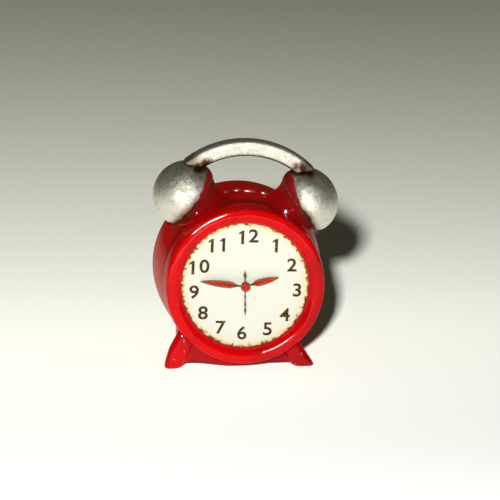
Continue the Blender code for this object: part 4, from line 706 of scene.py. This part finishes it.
class CLOCK_OT_hands(bpy.types.Operator):
    """Leaf-shaped hour and minute hands, the thin alarm hand and the boss"""

    bl_idname = "clock.hands"
    bl_label = "Hands"

    # Distance of each hand's back, and of the boss's back, edge and crown, in front of the dial
    ALARM_LIFT, HOUR_LIFT, MINUTE_LIFT = 0.2 * MM, 0.5 * MM, 0.84 * MM
    BOSS_BACK, BOSS_EDGE, BOSS_CROWN = 1.02 * MM, 1.12 * MM, 1.5 * MM
    # Right edge of a leaf hand: share of its way from stem to full width, and from hub to tip
    LEAF = ((0.08, 0.1), (0.5, 0.16), (0.86, 0.23), (1.0, 0.32), (0.98, 0.46), (0.88, 0.6), (0.66, 0.74),
            (0.36, 0.86), (0.16, 0.93))
    # Right edge of the alarm hand: share of its stem's width, and of its length
    NEEDLE = ((0.7, 0.94), (1.7, 0.84), (0.7, 0.74), (1.5, 0.62), (0.6, 0.5), (1.4, 0.38), (0.6, 0.26))

    def execute(self, context):
        s, a, c = sizes(), angles(), colours()
        red = self.red_paint()
        dark = Paint("hand_outline", IOR=1.15)
        worn = dark.noise(0.3 * MM)
        dark.blend(worn * 0.35, c.hand_edge, c.dial_edge, 0.4 + worn * 0.2)
        self.leaf("minute", s.minute_hand, self.MINUTE_LIFT, a.minute_hand, [dark, red])
        self.leaf("hour", s.hour_hand, self.HOUR_LIFT, a.hour_hand, [dark, red])
        self.needle()
        radius, dome = 0.82 * MM, 0.34 * MM
        boss = turned("hand_boss", [(0.0, -self.BOSS_BACK), (radius, -self.BOSS_BACK), (radius, -self.BOSS_EDGE)]
                      + sweep((0.0, dome - self.BOSS_CROWN), (radius - 0.12 * MM, dome), 0.0, -QUARTER, 8), steps=48)
        hand_over(place(boss, CLOCK), "minutes", [red], ["centre_cap"])
        rim = ring("boss_ring", radius - 0.14 * MM, radius + 0.03 * MM, -1.08 * MM, -1.2 * MM, steps=48)
        hand_over(place(rim, CLOCK), "minutes", [dark])
        return {"FINISHED"}

    def red_paint(self):
        """Brighter red of the hands, brushed on thin."""
        c = colours()
        paint = Paint("hand_enamel", IOR=1.2)
        streaks = paint.noise(0.35 * MM, 4.0, 0.6)
        return paint.blend(paint.fade(streaks, 0.4, 0.65) * 0.75, c.hand, c.hand_edge, 0.28 + streaks * 0.2)

    def leaf(self, label, reach, lift, angle, paints):
        """A leaf blade on a thin stem, dark with a red middle."""
        hub, stem = 0.76 * MM, 0.1 * MM
        half = sizes().hand_width / 2
        right = [(stem, hub)] + [(stem + (half - stem) * wide, hub + (reach - hub) * up) for wide, up in self.LEAF]
        start = QUARTER - math.asin(stem / hub)
        round_hub = sweep((0.0, 0.0), (hub, hub), HALF - start, TURN + start, 20)[1:-1]
        blade = flat(f"{label}_hand_red", both_halves(right, reach) + round_hub, -lift, -lift - BLADE)
        for paint in paints:
            blade.data.materials.append(paint.material)
        bpy.ops.object.mode_set(mode="EDIT")
        bpy.ops.mesh.select_mode(type="FACE")
        bpy.ops.mesh.select_all(action="DESELECT")
        mesh = bmesh.from_edit_mesh(blade.data)
        for face in mesh.faces:
            if face.normal.y < -0.9 and face.calc_center_median().y < -lift - BLADE / 2:
                face.select_set(True)
        bmesh.update_edit_mesh(blade.data)
        bpy.ops.mesh.inset(thickness=0.17 * MM, depth=0.0)
        blade.active_material_index = 1
        bpy.ops.object.material_slot_assign()
        bpy.ops.mesh.select_mode(type="VERT")
        bpy.ops.object.mode_set(mode="OBJECT")
        place(blade, CLOCK @ Matrix.Rotation(angle, 4, "Y"))
        hand_over(blade, f"{label}s", [], [f"{label}_hand"])

    def needle(self):
        """Thin alarm hand with a diamond on its tail."""
        s, c = sizes(), colours()
        hub, wide, diamond = 0.6 * MM, 0.12 * MM, 0.3 * MM
        tail = -s.alarm_tail
        start = QUARTER - math.asin(wide / hub)
        right_hub = sweep((0.0, 0.0), (hub, hub), start, -start, 8)
        beads = [(wide * share, s.alarm_hand * up) for share, up in self.NEEDLE]
        rhomb = [(wide, tail + 5 * diamond), (diamond, tail + 3 * diamond)]
        right = [(wide / 3, s.alarm_hand)] + beads + right_hub + rhomb
        needle = flat("alarm_hand_needle", both_halves(right, tail), -self.ALARM_LIFT, -self.ALARM_LIFT - BLADE)
        place(needle, CLOCK @ Matrix.Rotation(angles().alarm_hand, 4, "Y"))
        paint = Paint("alarm_hand_paint", IOR=1.15)
        dots = paint.noise(0.28 * MM, 3.0, 0.6)
        paint.blend(paint.fade(dots, 0.35, 0.65), c.needle, c.ink, 0.45 + dots * 0.2)
        hand_over(needle, "alarm_time", [paint], ["alarm_hand"])


class CLOCK_OT_bells(bpy.types.Operator):
    """Two domed bells in worn silver paint"""

    bl_idname = "clock.bells"
    bl_label = "Bells"

    # Outside and inside below the rim: millimetres less than the radius there, and along the bell's axis
    SKIRT = ((1.0, -1.75), (0.74, -1.75), (0.4, -1.3), (0.13, -0.75), (0.02, -0.3))
    LINING = ((0.02, -0.3), (0.12, -0.75), (0.35, -1.2), (0.6, -1.5))

    def execute(self, context):
        s = sizes()
        wall, flatter = 0.5 * MM, 0.4 * MM
        for side, label, height in ((-1, "left", s.bell_height), (1, "right", s.bell_height - flatter)):
            outer = [(s.bell_radius - less * MM, rise * MM) for less, rise in self.SKIRT]
            outer += sweep((0.0, 0.0), (s.bell_radius, height), 0.0, QUARTER, 24)
            inner = sweep((0.0, 0.0), (s.bell_radius - wall, height - wall), QUARTER, 0.0, 16)
            inner += [(s.bell_radius - wall - less * MM, rise * MM) for less, rise in self.LINING]
            where = CLOCK @ bell_place(side)
            bell = place(turned(f"{label}_bell_dome", outer + inner, steps=96), where)
            paint = silver_paint(f"{label}_bell_silver", self.stains(where, side), wear_and_top_shade=0.85)
            hand_over(bell, "case", [paint], [f"{label}_bell"])
        return {"FINISHED"}

    def stains(self, where, side):
        """Brown where the handle lands, and enamel that crept over the rim."""
        s, a = sizes(), angles()
        reach = s.handle_radius - s.handle_thickness / 2
        angle = a.handle_reach * 0.86    # the arch meets the dome before its end
        landing = CLOCK @ Vector((side * reach * math.sin(angle), s.bell_depth - 1.0 * MM,
                                  s.handle_top - s.handle_radius + reach * math.cos(angle)))

        def make(paint, patches, grain):
            offset = paint.add("ShaderNodeVectorMath", {"operation": "DISTANCE"}, {0: paint.place, 1: landing},
                               output="Value")
            landed = paint.fade(offset + patches * 2.0 * MM + grain * 0.8 * MM, 4.2 * MM, 3.2 * MM)
            x, depth, z = paint.axes(where)
            crept = paint.fade(depth - patches * 1.6 * MM - grain * 0.5 * MM, -2.1 * MM, -2.35 * MM)
            inward = x * (-side * math.cos(a.bell_tilt)) + z * math.sin(a.bell_tilt)
            rim = paint.fade(depth + patches * 1.2 * MM - inward * 0.35, -1.0 * MM, -1.25 * MM)
            return paint.maths("MAXIMUM", landed * (0.8 + 0.15 * side), crept * 0.75), rim

        return make


class CLOCK_OT_handle(bpy.types.Operator):
    """Flattened arch from bell to bell"""

    bl_idname = "clock.handle"
    bl_label = "Handle"

    def execute(self, context):
        s, a = sizes(), angles()
        middle = s.handle_radius - s.handle_thickness / 2
        handle = begin("handle_arch", bpy.ops.mesh.primitive_circle_add, vertices=28, radius=1.0, fill_type="NGON")
        edit_all()
        bpy.ops.transform.resize(value=(s.handle_thickness / 2, s.handle_width / 2, 1.0))
        self.square_off(handle)
        bpy.ops.transform.translate(value=(middle, 0.0, 0.0))
        bpy.ops.mesh.spin(steps=48, angle=2 * a.handle_reach, center=(0.0, 0.0, 0.0), axis=(0.0, 1.0, 0.0))
        close_up()
        lift = Matrix.Translation((0.0, s.bell_depth, s.handle_top - s.handle_radius))
        place(handle, CLOCK @ lift @ Matrix.Rotation(a.handle_reach - QUARTER, 4, "Y"))
        soften(handle, voxel=0.12 * MM, rounds=4)
        paint = silver_paint("handle_silver", self.stains, wear_and_top_shade=0.22)
        hand_over(handle, "case", [paint], ["handle"], crease=60)
        return {"FINISHED"}

    def square_off(self, handle):
        """Flatten the oval section's four sides."""
        half = (sizes().handle_thickness / 2, sizes().handle_width / 2)
        squareness = 0.4
        mesh = bmesh.from_edit_mesh(handle.data)
        for vertex in mesh.verts:
            for axis in (0, 1):
                share = vertex.co[axis] / half[axis]
                vertex.co[axis] = math.copysign(abs(share) ** squareness, share) * half[axis]
        bmesh.update_edit_mesh(handle.data)

    def stains(self, paint, patches, grain):
        """Brown grime at the two ends, and darker along the underside and along the top edge."""
        s = sizes()
        x, _, z = paint.axes(CLOCK)
        ends = paint.fade(paint.maths("ABSOLUTE", x) + patches * 3.4 * MM + grain * 1.2 * MM, 10.6 * MM, 12.8 * MM)
        radius = paint.distance(x, z - (s.handle_top - s.handle_radius))
        inside = s.handle_radius - s.handle_thickness
        under = paint.fade(radius + grain * 0.3 * MM, inside + 0.62 * MM, inside + 0.3 * MM)
        over = paint.fade(radius - grain * 0.5 * MM + patches * 0.5 * MM, s.handle_radius - 0.3 * MM,
                          s.handle_radius + 0.05 * MM)
        return paint.maths("MAXIMUM", paint.maths("MAXIMUM", ends * 0.6, under * 0.75), over * 0.25), 0.0


class CLOCK_OT_feet(bpy.types.Operator):
    """Two splayed feet, the web between them and the keel"""

    bl_idname = "clock.feet"
    bl_label = "Feet"

    # Outlines from the front, in millimetres from the point on the floor below the hub
    KEEL = ((-3.9, 0.0), (1.3, 0.0), (1.3, 2.1), (-3.9, 2.1))
    LEFT = ((-10.2, 9.4), (-13.45, 3.5), (-14.6, -0.4), (-11.3, -0.4), (-6.6, 9.4))
    RIGHT = ((7.0, 9.4), (10.75, 3.2), (13.1, -0.4), (9.0, -0.4), (3.6, 9.4))
    DIP = -1.3    # where the web touches the floor

    def execute(self, context):
        s = sizes()
        stand = flat("foot_casting", in_mm(self.web()), front=2.6 * MM, back=8.0 * MM)
        combine(stand, flat("keel", in_mm(self.KEEL), front=4.9 * MM, back=17.95 * MM), "UNION")
        for side, front, outline in ((-1, 1.5 * MM, self.LEFT), (1, 1.0 * MM, self.RIGHT)):
            foot = flat("foot", in_mm(outline), front, back=7.6 * MM, slant=-side * 1.2 * MM)
            combine(stand, self.rounded(foot), "UNION")
        place(stand, STAND)
        rim = s.bezel_outer + GAP
        before = -1.0 * MM
        saddle = turned("saddle", [(0.0, before), (rim, before), (rim, s.drum_front)] + drum_swell(GAP)
                        + [(s.drum_radius - 0.3 * MM, s.drum_rear), (0.0, s.drum_rear)])
        combine(stand, place(saddle, CLOCK), "DIFFERENCE")
        soften(stand, voxel=0.15 * MM, rounds=9)
        place(stand, Matrix.Translation((0.0, 0.0, GAP)))
        paint = enamel_paint("stand_enamel", deep=0.12)
        x, _, _ = paint.axes(STAND)
        # Painted shade: deep red on the web between the feet, more on the right foot, and a little all over the stand
        between = paint.fade(paint.maths("ABSOLUTE", x - self.DIP * MM), 9.4 * MM, 7.6 * MM)
        deepen(paint, between * 0.65 + paint.fade(x, 0.0, 9.0 * MM) * 0.55 + 0.1)
        hand_over(stand, "case", [paint], ["foot_stand"], crease=60)
        return {"FINISHED"}

    def rounded(self, foot):
        """Round a foot all over, then cut its sole flat on the ground."""
        reshape(foot, "BEVEL", width=1.3 * MM, segments=6, limit_method="ANGLE", angle_limit=math.radians(50))
        soften(foot, voxel=0.2 * MM, rounds=14)
        edit_all()
        cut_below(0.0)
        return foot

    def web(self):
        """Outline of the web in millimetres, dipping in the middle."""
        left, right, top, steps = -11.6, 8.5, 7.4, 28
        lower = []
        for i in range(steps + 1):
            x = left + (right - left) * i / steps
            half, rise = (8.2, 1.0) if x < self.DIP else (7.7, 0.6)
            share = min(1.0, abs(x - self.DIP) / half)
            lower.append((x, rise * (1 - math.cos(HALF * share)) / 2))
        return lower + [(right, top), (left, top)]


class CLOCK_OT_back(bpy.types.Operator):
    """Finishes for the cover, knobs, hatch, switch and the movement inside"""

    bl_idname = "clock.back"
    bl_label = "Back and movement"

    def execute(self, context):
        paints = {"red_enamel": enamel_paint("cover_enamel", deep=0.1), "black_plastic": self.plastic(),
                  "white_plastic": self.moulded(), "brass": self.metal("brushed_brass", (0.62, 0.43, 0.16)),
                  "steel": self.metal("bright_steel", (0.52, 0.53, 0.54)), "copper": self.winding(),
                  "board_green": self.board()}
        slots = {row["node"]: row["material_slot"] for row in frame["record"]["subparts"]}
        for name, node in frame["nodes"].items():
            if not node.hide_render:
                node.data.materials.clear()
                node.data.materials.append(paints[slots[name]].material)
        return {"FINISHED"}

    def plastic(self):
        """Black moulded plastic with a fine grain."""
        paint = Paint("black_moulding", IOR=1.5)
        grain = paint.noise(0.12 * MM)
        dust = paint.fade(paint.noise(0.9 * MM, 4.0, 0.7, 2.0), 0.55, 0.8)
        return paint.blend(dust * 0.25, (0.018, 0.018, 0.02), (0.12, 0.11, 0.1), 0.35 + grain * 0.2,
                           Normal=paint.bump(grain, 0.01 * MM, 0.6))

    def moulded(self):
        """White plastic of the ring inside."""
        paint = Paint("white_moulding", IOR=1.5)
        tone = paint.noise(2.0 * MM, 2.0)
        return paint.blend(tone * 0.3, (0.78, 0.78, 0.75), (0.62, 0.61, 0.56), 0.4 + tone * 0.15)

    def metal(self, name, shade):
        """Fine machined metal with faint tarnish."""
        paint = Paint(name, Metallic=1.0)
        fine = paint.noise(0.1 * MM)
        tarnish = paint.noise(1.5 * MM, 4.0, 0.6, 6.0)
        dull = tuple(part * 0.55 for part in shade)
        return paint.blend(paint.fade(tarnish, 0.45, 0.8) * 0.6, shade, dull, 0.22 + fine * 0.2)

    def winding(self):
        """Copper wire, turn by turn."""
        paint = Paint("copper_wire", Metallic=1.0)
        x, _, z = paint.axes(CLOCK)
        wire = 0.12 * MM
        along = x * -0.839 + z * 0.545    # the way the coil lies
        turns = paint.maths("SINE", along * (TURN / wire))
        return paint.blend(turns * 0.3 + 0.3, (0.62, 0.24, 0.1), (0.28, 0.09, 0.04),
                           0.3 + paint.noise(0.3 * MM) * 0.1, Normal=paint.bump(turns * 0.5 + 0.5, 0.03 * MM))

    def board(self):
        """Green board with faint copper tracks under the lacquer."""
        paint = Paint("board_lacquer", IOR=1.5)
        x, _, z = paint.axes(CLOCK)
        spacing = 1.1 * MM
        tracks = paint.fade(paint.maths("SINE", (x + z) * (TURN / spacing)), 0.5, 0.7)
        return paint.blend(tracks * 0.5, (0.02, 0.13, 0.05), (0.05, 0.24, 0.09), 0.3 + paint.noise(0.4 * MM) * 0.15)


class CLOCK_OT_stage(bpy.types.Operator):
    """Pale floor, soft light and the camera"""

    bl_idname = "clock.stage"
    bl_label = "Stage"

    CAMERA_DISTANCE = 0.5
    VIEW_WIDTH = 0.087
    SENSOR = 36.0
    ELEVATION = math.radians(13.0)
    AZIMUTH = math.radians(-5.5)
    # Where the hub is in the picture: right of and above its middle, as a share of its width
    HUB_ACROSS = -5.0 / 500
    HUB_UP = -35.3 / 500
    # Azimuth and elevation in degrees, distance and size in metres
    FLASH = (-9.0, 18.0, 0.55, 0.022)

    def execute(self, context):
        self.camera()
        self.lights(self.floor())
        bpy.context.scene.view_settings.view_transform = "Standard"
        return {"FINISHED"}

    def camera(self):
        """A long lens, slightly to the left and above."""
        back = self.direction(self.AZIMUTH, self.ELEVATION)
        right = Vector((math.cos(self.AZIMUTH), math.sin(self.AZIMUTH), 0.0))
        up = back.cross(right)
        aim = HUB - right * (self.HUB_ACROSS * self.VIEW_WIDTH) - up * (self.HUB_UP * self.VIEW_WIDTH)
        data = bpy.data.cameras.new("studio_camera")
        data.sensor_width = self.SENSOR
        data.lens = self.SENSOR * self.CAMERA_DISTANCE / self.VIEW_WIDTH
        data.clip_start, data.clip_end = 0.01, 20.0
        bpy.context.scene.camera = self.stand_up(data, aim, back * self.CAMERA_DISTANCE)

    def direction(self, azimuth, elevation):
        """From the clock towards a camera or lamp; azimuth 0 is straight in front."""
        level = math.cos(elevation)
        return Vector((math.sin(azimuth) * level, -math.cos(azimuth) * level, math.sin(elevation)))

    def stand_up(self, data, aim, away):
        """Put up a camera or lamp that looks at a point from some way off."""
        thing = bpy.data.objects.new(data.name, data)
        bpy.context.scene.collection.objects.link(thing)
        thing.location = aim + away
        thing.rotation_euler = (-away).to_track_quat("-Z", "Y").to_euler()
        return thing

    def floor(self):
        """A wide pale floor that lifts a little behind the clock, where less light reaches it."""
        c = colours()
        floor = begin("studio_floor", bpy.ops.mesh.primitive_plane_add, size=6.0)
        floor.location.z = -GAP / 2
        paint = Paint("floor_card", Specular_IOR_Level=0.05)
        x, y, _ = paint.axes()
        shade = paint.mix(paint.fade(y, -0.075, 0.04), c.floor, c.floor_middle)
        shade = paint.mix(paint.fade(y, 0.02, 0.4), shade, c.background)
        paint.blend(paint.fade(x, -0.04, 0.1) * 0.14, shade, c.floor_right, 0.9 + 0.05 * paint.noise(4.0 * MM))
        floor.data.materials.append(paint.material)
        return floor

    def lights(self, floor):
        """A small flash beside the camera, a strip for the ring's thin glint, faint fills and a dim sky."""
        dull = [bpy.data.objects[name] for name in ("left_bell_dome", "right_bell_dome", "handle_arch", "dial_face",
                                                    "dial_numerals", "hand_boss")]
        card = self.group("floor_lit", [floor], "INCLUDE")
        clock = self.group("clock_lit", [floor], "EXCLUDE")
        enamel = self.group("enamel_lit", [floor] + dull, "EXCLUDE")
        self.lamp("flash", *self.FLASH, 2.15, clock)
        self.lamp("flash_on_floor", *self.FLASH, 16.3, card)
        self.lamp("top_fill", -30.0, 60.0, 0.6, 0.3, 0.15, clock).visible_glossy = False
        self.lamp("back_fill", 160.0, 20.0, 0.7, 0.3, 0.7, clock).visible_glossy = False
        strip = self.lamp("glint_strip", -13.0, 18.0, 0.55, 0.18, 6.0, enamel)
        strip.data.shape = "RECTANGLE"
        strip.data.size_y = 0.03
        strip.rotation_euler.rotate_axis("Z", math.radians(31.0))
        strip.visible_diffuse = False
        world = bpy.data.worlds.new("studio_sky")
        world.use_nodes = True
        bpy.context.scene.world = world
        sky = world.node_tree.nodes["Background"]
        sky.inputs["Color"].default_value = (*colours().sky, 1.0)
        sky.inputs["Strength"].default_value = 0.11

    def group(self, name, pieces, state):
        """A collection that tells a lamp to light these pieces alone, or all but these."""
        group = bpy.data.collections.new(name)
        for piece in pieces:
            group.objects.link(piece)
        for entry in group.collection_objects:
            entry.light_linking.link_state = state
        return group

    def lamp(self, name, azimuth, elevation, distance, size, power, group):
        """A square lamp that faces the clock, with its angles in degrees."""
        back = self.direction(math.radians(azimuth), math.radians(elevation))
        data = bpy.data.lights.new(name, "AREA")
        data.size, data.energy = size, power
        light = self.stand_up(data, Vector((0.0, 0.0, HUB.z)), back * distance)
        light.light_linking.receiver_collection = group
        return light


class CLOCK_PT_panel(bpy.types.Panel):
    """Lists the steps and the settings"""

    bl_idname = "CLOCK_PT_panel"
    bl_label = "Twin Bell Clock"
    bl_space_type = "VIEW_3D"
    bl_region_type = "UI"
    bl_category = "Clock"

    def draw(self, context):
        for operator in OPERATORS:
            self.layout.operator(operator.bl_idname)
        for setting in SETTINGS:
            group = getattr(context.scene, setting)
            box = self.layout.box()
            for name in group.__annotations__:
                box.prop(group, name)


OPERATORS = (CLOCK_OT_case, CLOCK_OT_bezel, CLOCK_OT_dial, CLOCK_OT_hands, CLOCK_OT_bells, CLOCK_OT_handle,
             CLOCK_OT_feet, CLOCK_OT_back, CLOCK_OT_stage)
SETTINGS = {"clock_sizes": CLOCK_PG_sizes, "clock_angles": CLOCK_PG_angles, "clock_colours": CLOCK_PG_colours}
CLASSES = (*SETTINGS.values(), *OPERATORS, CLOCK_PT_panel)


def register():
    """Register the classes and hang the settings on the scene."""
    for item in CLASSES:
        bpy.utils.register_class(item)
    for setting, group in SETTINGS.items():
        setattr(bpy.types.Scene, setting, bpy.props.PointerProperty(type=group))


def unregister():
    """Take the settings and classes away again."""
    for setting in SETTINGS:
        delattr(bpy.types.Scene, setting)
    for item in reversed(CLASSES):
        bpy.utils.unregister_class(item)


def main():
    """Build every piece."""
    register()
    bpy.ops.clock.case()
    bpy.ops.clock.bezel()
    bpy.ops.clock.dial()
    bpy.ops.clock.hands()
    bpy.ops.clock.bells()
    bpy.ops.clock.handle()
    bpy.ops.clock.feet()
    bpy.ops.clock.back()
    bpy.ops.clock.stage()


if __name__ == "__main__":
    main()
